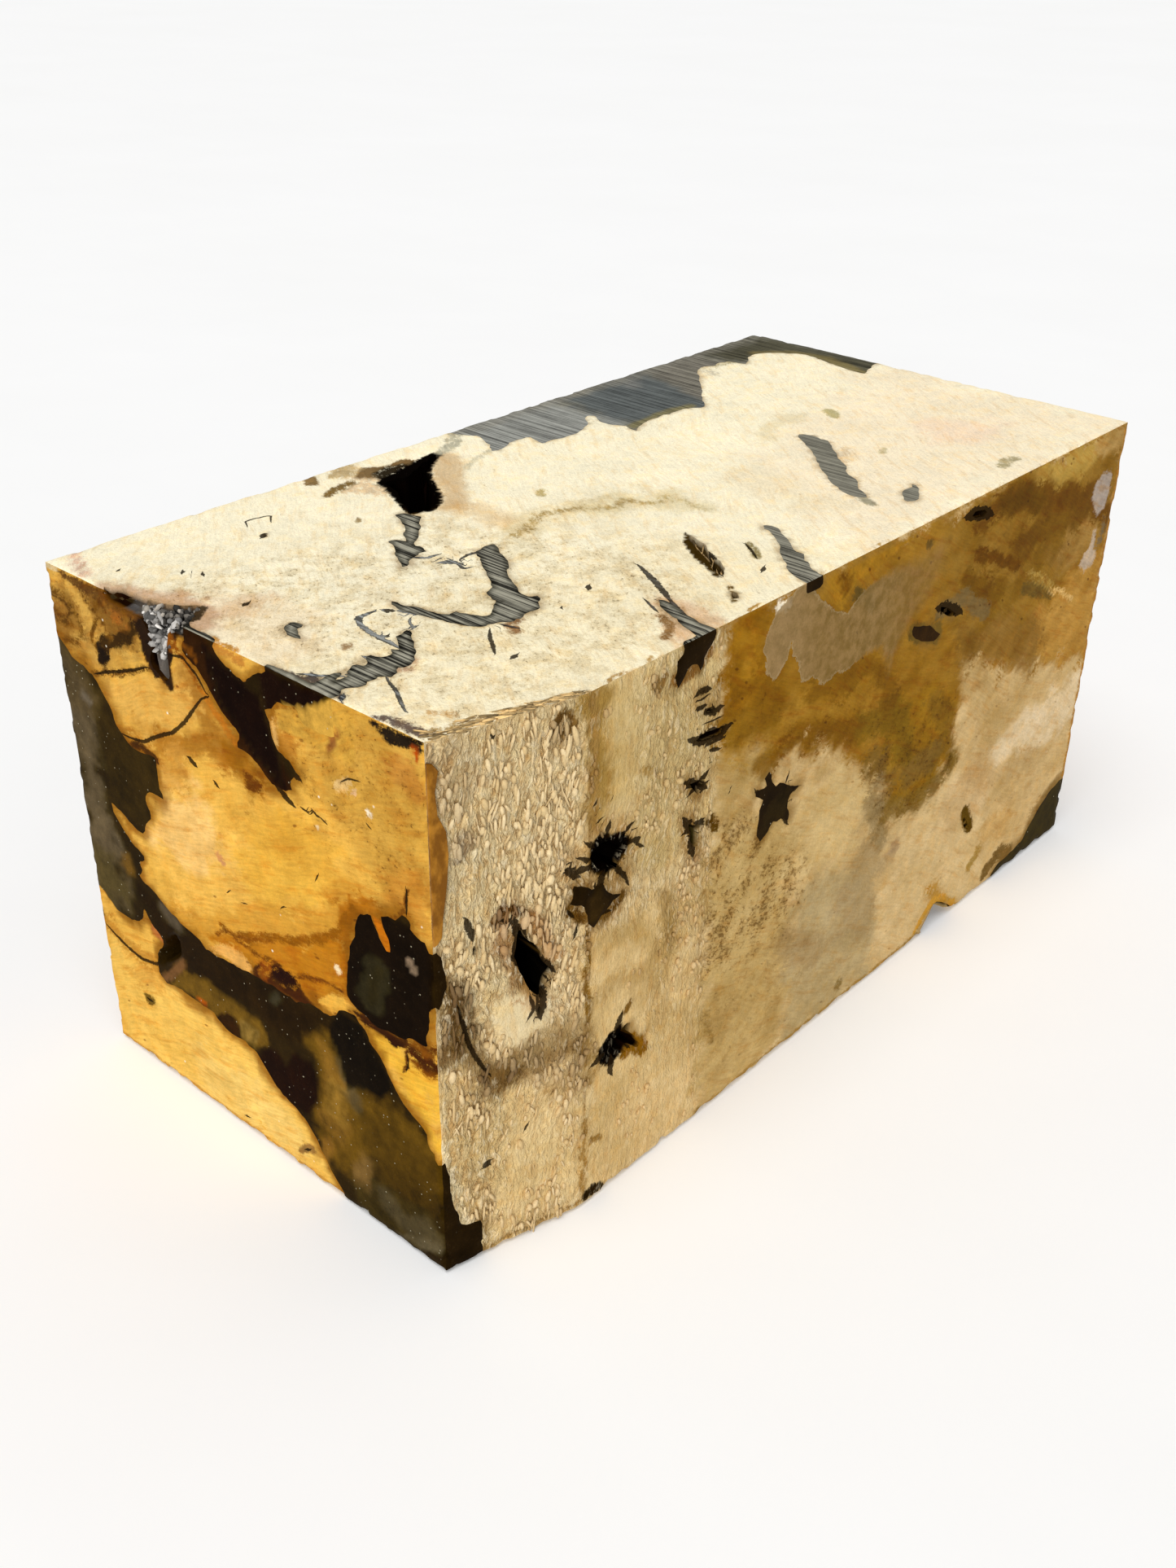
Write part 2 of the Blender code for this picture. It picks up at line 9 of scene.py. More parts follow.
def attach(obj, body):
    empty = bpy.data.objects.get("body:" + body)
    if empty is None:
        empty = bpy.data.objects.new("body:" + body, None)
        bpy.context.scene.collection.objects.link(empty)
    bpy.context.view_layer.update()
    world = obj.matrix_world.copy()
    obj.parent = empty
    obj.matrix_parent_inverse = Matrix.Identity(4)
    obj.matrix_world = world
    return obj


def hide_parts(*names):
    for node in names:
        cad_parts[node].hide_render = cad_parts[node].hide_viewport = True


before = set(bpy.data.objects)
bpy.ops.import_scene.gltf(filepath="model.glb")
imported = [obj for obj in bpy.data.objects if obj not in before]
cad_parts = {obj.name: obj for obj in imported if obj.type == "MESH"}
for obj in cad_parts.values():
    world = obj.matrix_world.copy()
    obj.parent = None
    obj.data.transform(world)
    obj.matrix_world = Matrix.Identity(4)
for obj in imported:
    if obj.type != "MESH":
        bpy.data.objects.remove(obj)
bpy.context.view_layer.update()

# The blank in millimetres: x from the near end, y from the front, z from the base.
MM = 0.001
LENGTH, WIDTH, HEIGHT = 152.4, 75.7, 77.2
# The slanting facet at the near end of the front, and where the wax on the front begins.
FACET_LENGTH, FACET_DEPTH = 20.3, 5.0
WAX_EDGE = 45.0
# How deep the wall beside a resin fill goes, and how far under the surface the solids are asked.
POCKET_WALL = 0.9
PROBE = 0.8
# Farther than anything on the blank.
FAR_OFF = 1e9


def rgb(red, green, blue):
    """A colour as a screen shows it, made linear."""
    shown = np.array([red, green, blue], float) / 255
    return np.where(shown < 0.04045, shown / 12.92, ((shown + 0.055) / 1.055) ** 2.4)


# How bright the studio light leaves a white surface on each face, and the pale sheen over it, so
# that a colour can be given as it looks there. Three numbers are for red, green and blue.
LIGHT = {
    "top": 0.955, "near": (1.18, 1.15, 1.06), "front": (0.86, 0.81, 0.745), "back": 0.8, "far": 0.8,
    "under": 0.8,
}
SHEEN = (0.003, 0.004, 0.008)


# Large odd numbers that scatter the cells of the noise, and how many of their bits are kept.
SCATTER = np.array([374761393, 668265263, 951274213])
SEED_STEP, STIR = 974711, 1274126177
WORD, LOW_BITS = 0xFFFFFFFF, 0xFFFFFF


def noise(points, size, seed):
    """Smooth random values from 0 to 1 over features of a size in mm."""
    scaled = points / np.asarray(size, float)
    cell = np.floor(scaled).astype(np.int64)
    part = scaled - cell
    part = part * part * (3 - 2 * part)
    total = np.zeros(len(points))
    for corner in range(8):
        step = np.array([corner & 1, corner >> 1 & 1, corner >> 2 & 1])
        mixed = ((cell + step) @ SCATTER + seed * SEED_STEP) & WORD
        mixed = ((mixed ^ (mixed >> 13)) * STIR) & WORD
        mixed = mixed ^ (mixed >> 16)
        weight = np.prod(np.where(step, part, 1 - part), axis=1)
        total += weight * (mixed & LOW_BITS) / LOW_BITS
    return total


def cloud(points, size, seed, octaves=3):
    """Noise of several sizes laid over each other, from -1 to 1."""
    total = np.zeros(len(points))
    reach = 0
    for octave in range(octaves):
        gain = 0.5 ** octave
        total += gain * (2 * noise(points, np.asarray(size, float) * gain, seed + octave) - 1)
        reach += gain
    return total / reach


def smooth(low, high, value):
    """0 below low, 1 above high, smooth between."""
    t = np.clip((value - low) / (high - low), 0, 1)
    return t * t * (3 - 2 * t)


def to_line(uv, line):
    """Distance to a drawn line, the side of it, and how far along it, from 0 to 1."""
    line = np.asarray(line, float)
    best = np.full(len(uv), FAR_OFF)
    side = np.ones(len(uv))
    along = np.zeros(len(uv))
    lengths = np.hypot(*(line[1:] - line[:-1]).T)
    starts = np.concatenate([[0], np.cumsum(lengths)])
    for start, end, length, before in zip(line[:-1], line[1:], lengths, starts):
        run = (end - start) / max(length, 1e-9)
        rel = uv - start
        t = np.clip(rel @ run, 0, length)
        away = np.hypot(*(rel - t[:, None] * run).T)
        near = away < best
        best = np.where(near, away, best)
        side = np.where(near, np.sign(rel[:, 0] * run[1] - rel[:, 1] * run[0]), side)
        along = np.where(near, (before + t) / starts[-1], along)
    return best, side, along


def into_area(uv, outline):
    """How far inside a closed outline, in mm; outside it the value is below zero."""
    closed = list(outline) + [outline[0]]
    away, _, _ = to_line(uv, closed)
    ring = np.asarray(closed, float)
    inside = np.zeros(len(uv), bool)
    for (ax, ay), (bx, by) in zip(ring[:-1], ring[1:]):
        if ay == by:
            continue
        spans = (ay > uv[:, 1]) != (by > uv[:, 1])
        inside ^= spans & (uv[:, 0] < (bx - ax) * (uv[:, 1] - ay) / (by - ay) + ax)
    return np.where(inside, away, -away)


# What is painted on each face, in mm. The near end is drawn from the back. A stain is a closed area:
# its points, how soft it is, its colour and its strength. One of five parts is a drawn line, and has
# its half width after its points. Later stains lie over earlier ones.
BASE = {
    "top": (251, 241, 210), "near": (234, 178, 76), "front": (200, 170, 120),
    "back": (192, 156, 100), "far": (220, 166, 78), "under": (200, 174, 124),
}

STAINS = {"top": [
    ([(0, 5), (0, 30), (30, 30), (60, 22), (80, 0), (20, 0)], 9, (248, 235, 199), 0.8),
    ([(0, 30), (0, 52), (10, 52), (14, 40), (8, 30)], 4, (246, 226, 190), 0.7),
    ([(80, 0), (152, 0), (152, 45), (110, 40), (85, 25)], 12, (247, 231, 200), 0.8),
    ([(120, 17), (126, 25), (132, 24), (138, 14), (130, 10)], 4, (244, 216, 188), 0.6),
    ([(84, 30), (92, 36), (92, 22), (88, 12), (82, 16)], 5, (240, 224, 188), 0.6),
    ([(53, 38), (48, 37.5), (44, 33)], 0.5, 2.6, (234, 218, 176), 0.4),
    ([(49.5, 52.5), (51.5, 47), (50.5, 42)], 0.6, 2.6, (234, 208, 164), 0.7),
    ([(50, 39.4), (55, 40.8), (58, 39), (62.5, 39.4)], 0.4, 2.5, (228, 208, 160), 0.6),
    ([(63, 36.6), (68.6, 36.8), (71.6, 31), (73.8, 32.4), (74, 27)], 0.4, 2.5, (230, 214, 170), 0.7),
    ([(0, 5), (0, 8.4), (4, 6), (9, 4.4), (15, 2.8), (20.5, 1.4), (20.5, 0)], 1.2, (176, 146, 92), 0.75),
    ([(0, 62), (1.6, 60), (2.8, 55), (4.6, 50.5), (4, 47), (1, 45)], 0.6, 2.6, (196, 154, 122), 0.75),
    ([(0, 46.6), (0, 57.6), (2.6, 53), (6, 49.2), (3.4, 47)], 0.5, (70, 58, 46), 1.0),
    ([(1, 68), (2.4, 72), (4, 75)], 0.2, 1.2, (222, 186, 160), 0.6),
    ([(0, 5), (2, 6), (2.2, 9), (1.4, 12.6), (0, 14)], 1.0, (108, 94, 86), 0.85),
    ([(0, 31), (1, 29), (1.6, 26), (3.2, 26.4), (2, 23), (1.6, 18.6), (0, 18)], 0.6, (86, 78, 74), 0.8),
    ([(0.2, 37), (0.4, 41)], 0.3, 0.7, (196, 142, 70), 0.7),
    ([(7.6, 45.6), (10.5, 46.6)], 0.5, 2.5, (224, 190, 150), 0.6),
    ([(36, 0), (37.6, 3.2), (40, 6), (43, 8), (45, 11), (47, 11), (46, 3), (45.5, 0)], 2.0, (222, 176, 134),
     0.65),
    ([(26, 16.6), (27, 18.8), (28.8, 19.2)], 0.3, 0.9, (156, 122, 88), 0.7),
    ([(45.6, 70.2), (47, 74), (49, 75.7), (51.5, 73.4), (54, 71.4), (58.6, 71.3), (60.4, 69), (57, 66.6),
      (54, 65.9), (49.4, 66.2), (48.4, 67.6)], 0.9, (126, 102, 70), 0.95),
    ([(50.6, 66.4), (51, 69.4), (54, 70.4), (57, 69.6), (58, 67.6), (54, 65.9)], 0.9, (48, 42, 36), 0.9),
    ([(45, 73), (48, 75.7), (52, 75.7), (51, 73), (48, 71)], 1.2, (196, 172, 128), 0.8),
    ([(39.5, 67.2), (43, 70.3), (47, 71), (49, 67), (48.6, 62), (46, 61.5), (44, 66)], 1.6, (222, 196, 158),
     0.7),
    ([(40.5, 67.6), (43, 69), (46, 69.3)], 0.3, 0.8, (126, 102, 62), 0.8),
    ([(51, 52.6), (54.6, 57), (57.8, 61), (61, 64.4), (64, 67)], 0.3, 2.5, (206, 172, 124), 0.75),
    # Painted shade: black over the surface round the big hollow, widening its dark opening.
    ([(43.2, 53.6), (44.8, 57.2), (46.4, 60.4), (48, 64), (48.8, 66.6), (51, 67.6), (54.4, 68.2), (58, 69),
      (62, 70.2), (67.6, 71.2), (64.6, 68.8), (60.8, 66.8), (58.2, 64.8), (56.4, 62.6), (54.5, 60.1),
      (52.5, 56.7), (50.5, 54.4), (47, 52.4)], 0.35, (16, 13, 9), 1.0),
    ([(65.2, 22.6), (63.6, 19.4), (60.8, 14.4), (57.4, 10.4), (55.2, 8.6), (56.4, 11.8), (58.8, 16),
      (62, 20.2)], 0.35, (62, 47, 26), 1.0),
    ([(54.4, 6.6), (52.4, 4.2), (51, 3)], 0.2, 0.4, (104, 84, 48), 0.8),
    ([(37, 2.6), (39.4, 3.6), (41.4, 7)], 0.2, 0.8, (150, 116, 76), 0.7),
    ([(48, 38), (52, 38.6), (55.6, 40.6), (59, 39.6), (62.4, 38.4)], 0.3, 1.2, (178, 152, 98), 0.55),
    ([(62, 37.4), (66, 35), (68.4, 36.4), (69.4, 33), (72.4, 31)], 0.2, 1.0, (186, 162, 110), 0.6),
    ([(73.4, 33), (74.2, 29), (73.6, 25)], 0.2, 1.2, (200, 180, 130), 0.5),
    ([(62, 46), (63.2, 47.2)], 0.3, 0.8, (190, 172, 120), 0.7),
    ([(62, 61.5), (66, 63.4), (70.5, 64.6)], 0.2, 0.8, (206, 198, 170), 0.6),
    ([(65.5, 69.6), (69, 71.4), (72.5, 75)], 0.3, 1.2, (188, 182, 157), 0.7),
    ([(128, 69), (126, 65)], 0.3, 1.5, (208, 198, 172), 0.6),
    ([(128, 68), (131, 71), (135, 70.5), (136, 65), (133, 66)], 1.5, (190, 176, 138), 0.6),
    ([(105, 37.5), (108, 40.5), (117, 41)], 0.3, 1.8, (226, 210, 170), 0.6),
    ([(121.4, 36.6), (122.8, 38.6)], 0.5, 0.9, (188, 176, 130), 0.8),
    ([(111, 20.6), (113, 21.6)], 0.2, 0.7, (206, 192, 152), 0.7),
    ([(118.6, 4.2), (121.6, 5.2), (123.4, 4.6)], 0.4, 0.8, (184, 170, 132), 0.7),
    ([(100, 22.6), (106, 23.2), (109, 25.6)], 0.3, 1.4, (222, 198, 160), 0.6),
    ([(91.4, 9.6), (92.4, 11.8)], 0.3, 0.9, (170, 162, 136), 0.8),
    ([(67.4, 13.6), (66, 11.8), (64.2, 9.6)], 0.2, 0.6, (150, 134, 90), 0.8),
    ([(5.2, 9), (6.4, 7.2)], 0.3, 0.8, (206, 172, 122), 0.6),
    ([(9.2, 28), (10.2, 28.6)], 0.2, 0.6, (176, 146, 108), 0.6),
    ([(36.8, 57), (37.6, 57.8)], 0.2, 0.5, (166, 144, 104), 0.7),
    ([(42.2, 73.2), (43.6, 75)], 0.5, 0.8, (142, 116, 76), 0.85),
    ([(20.6, 0.2), (152, 0.2)], 0.05, 0.4, (214, 184, 134), 0.55),
    ([(24, 0.2), (25.6, 0.7), (27, 0.2)], 0.2, 0.4, (176, 142, 90), 0.7),
    ([(31, 0.2), (32, 0.8)], 0.2, 0.4, (182, 150, 98), 0.7),
    ([(50, 0.3), (52, 0.5)], 0.2, 0.4, (176, 134, 66), 0.7),
    ([(78, 0.2), (80, 0.5)], 0.15, 0.4, (190, 152, 88), 0.6),
    ([(13, 20.2), (10.4, 18.4), (9.6, 20.6)], 0.2, 0.7, (190, 158, 128), 0.6),
], "near": [
    ([(0, 0), (52, 0), (44, 9), (34, 15), (16, 17), (0, 20)], 4, (248, 198, 94), 0.95),
    ([(20, 0), (46, 0), (40, 8), (26, 12), (18, 8)], 4, (249, 208, 116), 0.8),
    ([(13, 40), (22, 56), (38, 54), (46, 44), (34, 38), (20, 34)], 4, (248, 192, 88), 0.9),
    ([(17, 42), (21, 52), (28, 55), (33, 46), (26, 40)], 4, (252, 204, 124), 0.75),
    ([(34, 46), (46, 58), (56, 58), (54, 48), (44, 42)], 5, (242, 184, 70), 0.8),
    ([(48, 77), (70.7, 77), (70.7, 52), (62, 56), (52, 62)], 4, (212, 160, 68), 0.9),
    ([(66, 60), (70.7, 60), (70.7, 50), (62, 52)], 3, (206, 136, 50), 0.7),
    ([(58, 33), (70.7, 33), (70.7, 21), (64, 26)], 2.6, (247, 189, 64), 0.9),
    ([(0, 66), (6, 64.6), (9.6, 64.8), (20.2, 69.6), (20.4, 77.2), (0, 77.2)], 2.5, (186, 138, 62), 0.9),
    ([(0, 75), (0, 67), (3, 67), (6, 70), (4, 73)], 2.2, (140, 94, 38), 0.8),
    ([(9, 77.2), (10, 73), (14, 71), (19, 71), (20.4, 77.2)], 2, (128, 86, 36), 0.8),
    ([(4, 68.4), (6, 66), (9.4, 66), (9.4, 68), (7, 69)], 1.2, (212, 164, 80), 0.8),
    ([(8, 60), (22, 70), (30, 72), (32, 66), (20, 58)], 3, (226, 172, 82), 0.8),
    ([(20, 30.6), (26, 32), (32, 35.4), (40, 39), (50, 44), (54, 48), (57, 51.6)], 0.5, 2.6, (214, 152, 54),
     0.8),
    ([(35, 53), (45, 55), (52, 54)], 0.8, 3, (226, 166, 62), 0.5),
    # Brown rims over the pour, and the dark inclusion on it.
    ([(25, 30.4), (31, 33.4), (40, 36.8), (50, 41.8), (55.6, 44.4), (55.5, 37), (52, 33), (46, 31),
      (36, 29.6)], 1.1, (190, 118, 26), 0.9),
    ([(30, 34.3), (32.6, 33.9), (36, 35.2), (40.3, 37.3), (46.3, 39.9), (51.5, 42.5), (54.9, 45.5),
      (57.5, 50.2)], 0.15, 0.9, (150, 90, 12), 0.75),
    ([(28.6, 32.4), (30.6, 34), (34, 33.4), (37.4, 33.2), (41, 33.9), (44, 33.6)], 0.1, 0.6, (128, 74, 10),
     0.7),
    ([(26, 28.8), (29, 31), (33, 32), (36, 30.6), (35, 28.8)], 0.8, (238, 178, 92), 0.85),
    ([(35.4, 29), (36, 31.4), (39, 33.2), (43, 34), (45.6, 33), (46.6, 31.6), (48.4, 30.8), (47, 29.4)], 0.6,
     (66, 33, 5), 0.95),
    ([(41, 31.6), (44, 32.6)], 0.5, 0.8, (38, 19, 4), 0.9),
    ([(37.6, 30.4), (39, 32.2)], 0.2, 0.6, (140, 72, 12), 0.7),
    ([(47, 34.4), (48, 31.6)], 0.4, 1.0, (176, 104, 20), 0.8),
    ([(48.6, 31.6), (51, 34.4), (54.5, 35.6), (55, 33.6), (52, 31.2)], 0.6, (238, 180, 74), 0.9),
    ([(45.4, 34), (47.6, 35), (51, 36), (54.6, 36.2)], 0.08, 0.5, (120, 66, 8), 0.7),
    ([(55.4, 46), (55, 41), (55.4, 36.6)], 0.3, 1.0, (176, 100, 14), 0.85),
    ([(55.6, 47), (57.6, 51), (60, 51.6), (62, 50.4)], 0.3, 1.1, (172, 96, 14), 0.8),
    ([(60.4, 50.4), (61.4, 48.2), (62.6, 46.2), (63.8, 46), (63.8, 48.2), (62.2, 50.4)], 0.4, (204, 116, 22),
     0.95),
    ([(64, 52), (65.8, 53), (66.4, 55.4), (67, 57)], 0.05, 0.4, (116, 66, 16), 0.8),
    ([(65.4, 35), (70.7, 36.8), (70.7, 31), (67.6, 30.6), (66, 32)], 0.9, (132, 75, 13), 0.85),
    ([(55.4, 34.4), (58, 34.8), (64, 34.6), (66, 35), (65.6, 33.2), (63.4, 32.4), (60, 33), (58, 32.8),
      (56.4, 33.6)], 0.4, (48, 24, 6), 0.9),
    ([(66.4, 33.6), (68, 32.8), (70.7, 33.2)], 0.3, 0.6, (72, 37, 6), 0.8),
    ([(65.4, 35.6), (67, 36.6), (68.6, 35.4), (70.6, 36)], 0.1, 0.5, (90, 48, 8), 0.8),
    ([(65.2, 32.8), (65.6, 30.6), (64.8, 29.6)], 0.1, 0.4, (100, 56, 10), 0.8),
    # Swirls in the corner by the back.
    ([(0, 68), (4, 68.4), (6.4, 70), (5, 73), (0, 74)], 1.0, (158, 112, 48), 0.8),
    ([(0, 73.8), (3.6, 73.2), (5.8, 71.2), (6.8, 69), (5, 67.2), (2, 66.6)], 0.2, 0.8, (116, 78, 26), 0.6),
    ([(0, 71.6), (3, 70.8), (5, 69.4), (3.4, 68.6), (0, 69)], 0.8, (130, 84, 26), 0.8),
    ([(2.6, 74.8), (6, 74), (8, 71.6), (8.2, 68.6)], 0.2, 1.1, (144, 102, 44), 0.6),
    ([(2, 76.6), (5, 75), (8, 73), (9.6, 70)], 0.3, 1.0, (222, 172, 82), 0.8),
    ([(9.4, 76.8), (11, 75), (12.6, 74.4), (15, 75.4)], 0.2, 0.6, (104, 62, 16), 0.75),
    ([(10, 66.6), (8.4, 69), (10.4, 72), (11, 75)], 0.15, 0.4, (118, 78, 24), 0.75),
    ([(9.6, 69), (12.8, 70.4), (12.4, 67.4), (10.6, 65.2), (9.2, 65.6)], 0.5, (34, 24, 6), 0.95),
    ([(18, 73.8), (16.8, 71.8), (14.4, 70.4), (11.4, 69.4)], 0.4, 0.8, (62, 42, 12), 0.9),
    ([(20.8, 69), (17.4, 67.4), (13.4, 65.8), (10.4, 64.6), (7.8, 63.6)], 0.1, 0.7, (98, 64, 18), 0.65),
    ([(0, 69.4), (3, 70), (4.4, 71.4), (3, 72.6), (0, 72.8)], 0.05, 0.5, (98, 64, 22), 0.7),
    ([(7, 76.6), (8.6, 74), (11.6, 72.4), (13, 70.6)], 0.1, 0.5, (112, 72, 24), 0.7),
    ([(12, 76), (14.4, 74), (17.4, 74.8)], 0.1, 0.6, (96, 58, 20), 0.6),
    ([(13.6, 68.6), (16, 69.6), (19.4, 71), (20, 69.6), (16, 67.6)], 0.8, (214, 166, 78), 0.7),
    ([(14, 77.2), (16, 75.4), (19.6, 73.8), (21.8, 74.4), (21, 77.2)], 0.7, (46, 30, 14), 0.9),
    ([(18.6, 77.2), (19.4, 73), (19.8, 70.6), (20.6, 69.2), (21.6, 67.8), (23.4, 68.2), (25, 66.9),
      (26, 67.4), (25.8, 70.6), (27, 73), (28.6, 77.2)], 0.5, (42, 28, 14), 1.0),
    ([(12, 77.2), (14, 73), (17, 73), (16, 76)], 0.9, (170, 108, 44), 0.7),
    # Around the diagonal inclusion.
    ([(27, 73), (30, 72.2), (34, 69), (38.2, 65.2), (37.4, 63.6), (34, 66.6), (30, 70)], 0.9, (192, 118, 38),
     0.8),
    ([(27, 70), (30.4, 71.4), (34, 68.6), (38, 64), (36, 60), (31, 63)], 2.6, (168, 110, 38), 0.85),
    ([(12, 57), (20, 59.6), (27, 64), (30, 62), (24, 57), (14, 55)], 2.6, (192, 136, 52), 0.7),
    ([(33, 65.4), (36.8, 63.4), (41.6, 62), (44, 61), (41.6, 59.4), (39.4, 58), (36.4, 60)], 1.5,
     (156, 96, 20), 0.85),
    ([(45.4, 71.8), (48, 73.4), (51, 73.9), (54, 75.4), (56, 77.2), (60, 77.2), (59, 70), (46, 69.6)], 0.6,
     (214, 162, 66), 1.0),
    ([(53.4, 39.2), (53.8, 38.9)], 0.35, 0.4, (250, 224, 176), 0.95),
    ([(60.9, 64.7), (61.3, 64.4)], 0.15, 0.4, (250, 232, 198), 0.95),
    ([(51.6, 58.7), (51.9, 58.5)], 0.1, 0.35, (240, 216, 170), 0.9),
    ([(58, 66), (58.8, 66.5)], 0.25, 0.4, (232, 184, 132), 0.8),
    ([(54.9, 70.6), (56.4, 73)], 0.05, 0.35, (160, 100, 52), 0.75),
    ([(38, 61.6), (42, 60.6), (41, 58.6), (38.4, 58.8)], 0.9, (112, 62, 8), 0.8),
    ([(26, 74.4), (29, 72.6), (31, 70.6)], 0.2, 0.8, (150, 84, 18), 0.7),
    ([(31, 77.2), (36, 75.6), (40.4, 75), (41, 77.2)], 0.8, (196, 132, 56), 0.8),
    ([(46.4, 66.4), (47.4, 69), (46, 73)], 0.6, 1.6, (186, 118, 40), 0.8),
    ([(45, 70.4), (45.4, 67.4)], 0.1, 0.5, (232, 180, 100), 0.8),
    ([(12.6, 56.6), (16, 56.2), (20, 56.6), (23, 58.6), (26, 60.6), (30, 61.4), (35, 61.4)], 0.3, 1.3,
     (168, 104, 28), 0.7),
    ([(14.6, 55.7), (17, 56.3), (19.6, 55.4)], 0.25, 0.6, (70, 42, 8), 0.85),
    ([(20.6, 53.4), (23, 54.4), (25, 58.6)], 0.5, 1.5, (206, 146, 62), 0.7),
    ([(0, 20.8), (3, 19.8), (6, 19), (9, 18.6), (12.6, 19.2)], 0.5, 1.2, (186, 122, 38), 0.75),
    ([(13.4, 17.6), (10, 15.8), (6, 14.4)], 0.3, 1.5, (214, 150, 58), 0.6),
    ([(13.6, 26), (15, 25.4)], 0.4, 0.9, (192, 116, 60), 0.85),
    ([(0, 21), (1.2, 22), (0.8, 23.4), (0, 24)], 0.5, (104, 86, 36), 0.8),
    ([(62.4, 76.2), (65, 75), (68.4, 75), (70.7, 75.4), (70.7, 77.2), (62, 77.2)], 0.7, (40, 32, 28), 0.9),
    ([(69.2, 75.4), (69.6, 74.2)], 0.12, 0.3, (196, 84, 20), 0.9),
    ([(31.2, 45.6), (31.8, 45.2)], 0.35, 0.5, (214, 150, 92), 0.8),
    ([(42, 2.6), (45, 4.6)], 0.25, 0.7, (158, 118, 62), 0.8),
    ([(8.8, 11.2), (10, 11.6)], 0.4, 0.6, (116, 88, 34), 0.9),
    ([(47, 8), (48.6, 5)], 0.4, 1.0, (176, 120, 48), 0.7),
    ([(56, 66), (58, 67.6)], 0.3, 0.8, (232, 190, 120), 0.7),
    ([(66, 72.4), (69, 70.6)], 0.5, 1.3, (196, 126, 54), 0.6),
    ([(0.4, 76.8), (5, 76.9)], 0.15, 0.5, (224, 198, 146), 0.7),
    ([(4, 76.6), (8, 76.2), (14, 76.4), (19, 76)], 0.3, 0.8, (104, 68, 34), 0.75),
    ([(0, 0.4), (50, 0.4)], 0.1, 0.6, (196, 140, 60), 0.7),
], "front": [
    ([(0, 0), (20.3, 0), (20.3, 30), (0, 33)], 3, (199, 167, 112), 0.7),
    ([(0, 33), (20.3, 36), (20.3, 77.2), (0, 77.2)], 3, (210, 183, 133), 0.8),
    ([(20.3, 0), (45, 0), (45, 42), (20.3, 42)], 4, (195, 162, 108), 0.9),
    ([(20.3, 48), (45, 48), (45, 77.2), (20.3, 77.2)], 3, (190, 162, 110), 0.9),
    ([(21.4, 62), (27, 61), (27, 77.2), (21.4, 77.2)], 4, (184, 152, 96), 0.9),
    ([(21.8, 77), (22, 68), (21.6, 60)], 0.4, 2.2, (142, 106, 46), 0.8),
    ([(28, 0), (45, 0), (45, 12), (30, 14)], 3, (202, 169, 116), 0.7),
    ([(8.2, 38.8), (10, 40), (13, 39), (15, 37), (15.4, 34), (13.4, 32), (10.6, 31.2), (8.6, 33), (7.8, 36)],
     1.3, (203, 179, 134), 0.9),
    ([(0, 47), (0, 33), (2, 32), (4, 34), (3.8, 40), (3.4, 45)], 1.5, (108, 78, 42), 0.85),
    # Painted shadow: the brown band and the dark line under the lip round the pale patch below the hole.
    ([(7, 28), (10, 28.2), (14, 28.8), (18, 28.2), (20.3, 27)], 0.9, 2.2, (130, 102, 64), 0.8),
    ([(12, 30.6), (16, 31.4), (20.3, 31.2)], 0.3, 1.8, (154, 126, 84), 0.7),
    ([(3, 43), (3.2, 38), (4, 34), (5.4, 31), (7.4, 28.4), (10, 27.6)], 0.4, 1.4, (96, 68, 34), 0.8),
    ([(14, 25), (17, 23), (20.3, 22)], 0.4, 1.8, (166, 136, 92), 0.6),
    ([(20.3, 20), (22, 20), (25, 22), (24.6, 24.4), (21, 26.6)], 1.2, (142, 112, 70), 0.75),
    ([(9.4, 51.4), (9.8, 46), (11.4, 41.6), (13.4, 38)], 0.4, 1.3, (150, 104, 58), 0.75),
    ([(12.4, 50.4), (14.6, 46.6), (16.4, 43)], 0.4, 1.2, (172, 128, 80), 0.7),
    ([(8, 50.8), (9.4, 52.4), (11.4, 51)], 0.2, 0.7, (104, 70, 38), 0.85),
    ([(0.4, 74), (2.6, 69), (4.6, 70), (3.6, 76)], 0.8, 1.6, (170, 142, 100), 0.6),
    ([(1.8, 60), (3.4, 64.6), (6, 65.4), (6.4, 62.4), (4, 60)], 1.0, (164, 140, 106), 0.7),
    ([(17.4, 72.4), (18.8, 73.8), (17.6, 75.4), (16.2, 74), (17, 72.4)], 0.15, 0.5, (128, 96, 52), 0.9),
    ([(0, 21), (1.6, 12), (3, 5.6), (4.6, 4.6), (5, 0)], 0.4, 0.9, (222, 198, 150), 0.7),
    ([(0, 0.4), (20, 0.4)], 0.1, 0.7, (160, 126, 76), 0.7),
    # The knots and open gaps between the ridge and the wax.
    ([(17.4, 57.6), (22, 59.4), (27, 58.6), (30.6, 54), (29, 47.6), (26, 45), (22, 43), (18, 46),
      (16.6, 50)], 2.5, (166, 128, 78), 0.6),
    ([(20.4, 54.6), (21.4, 56.8), (23.4, 57.8), (25, 56.8), (27.2, 56), (28.8, 54), (27.4, 52.4),
      (25.4, 51.2), (23.4, 51), (21.8, 52.6)], 0.45, (15, 11, 7), 1.0),
    ([(18, 49), (20, 46.6), (24.8, 45.4), (27.4, 47)], 0.2, 0.9, (108, 76, 36), 0.75),
    ([(21.2, 77), (21.4, 60)], 0.3, 1.1, (150, 114, 62), 0.7),
    # A painted shadow: the thin dark line along the crease at the ridge.
    ([(20.7, 77), (20.6, 66), (20.9, 40), (20.6, 20), (20.7, 0.5)], 0.05, 0.4, (136, 102, 56), 0.6),
    ([(20.8, 44), (21.2, 34), (21.4, 31)], 0.2, 0.7, (124, 90, 42), 0.7),
    ([(21, 29), (21, 24), (22.4, 21)], 0.3, 0.9, (150, 116, 66), 0.6),
    ([(20.9, 14), (21.2, 9.6)], 0.2, 0.8, (140, 102, 50), 0.7),
    ([(21.8, 10.4), (23.6, 9.8)], 0.2, 0.7, (140, 104, 54), 0.7),
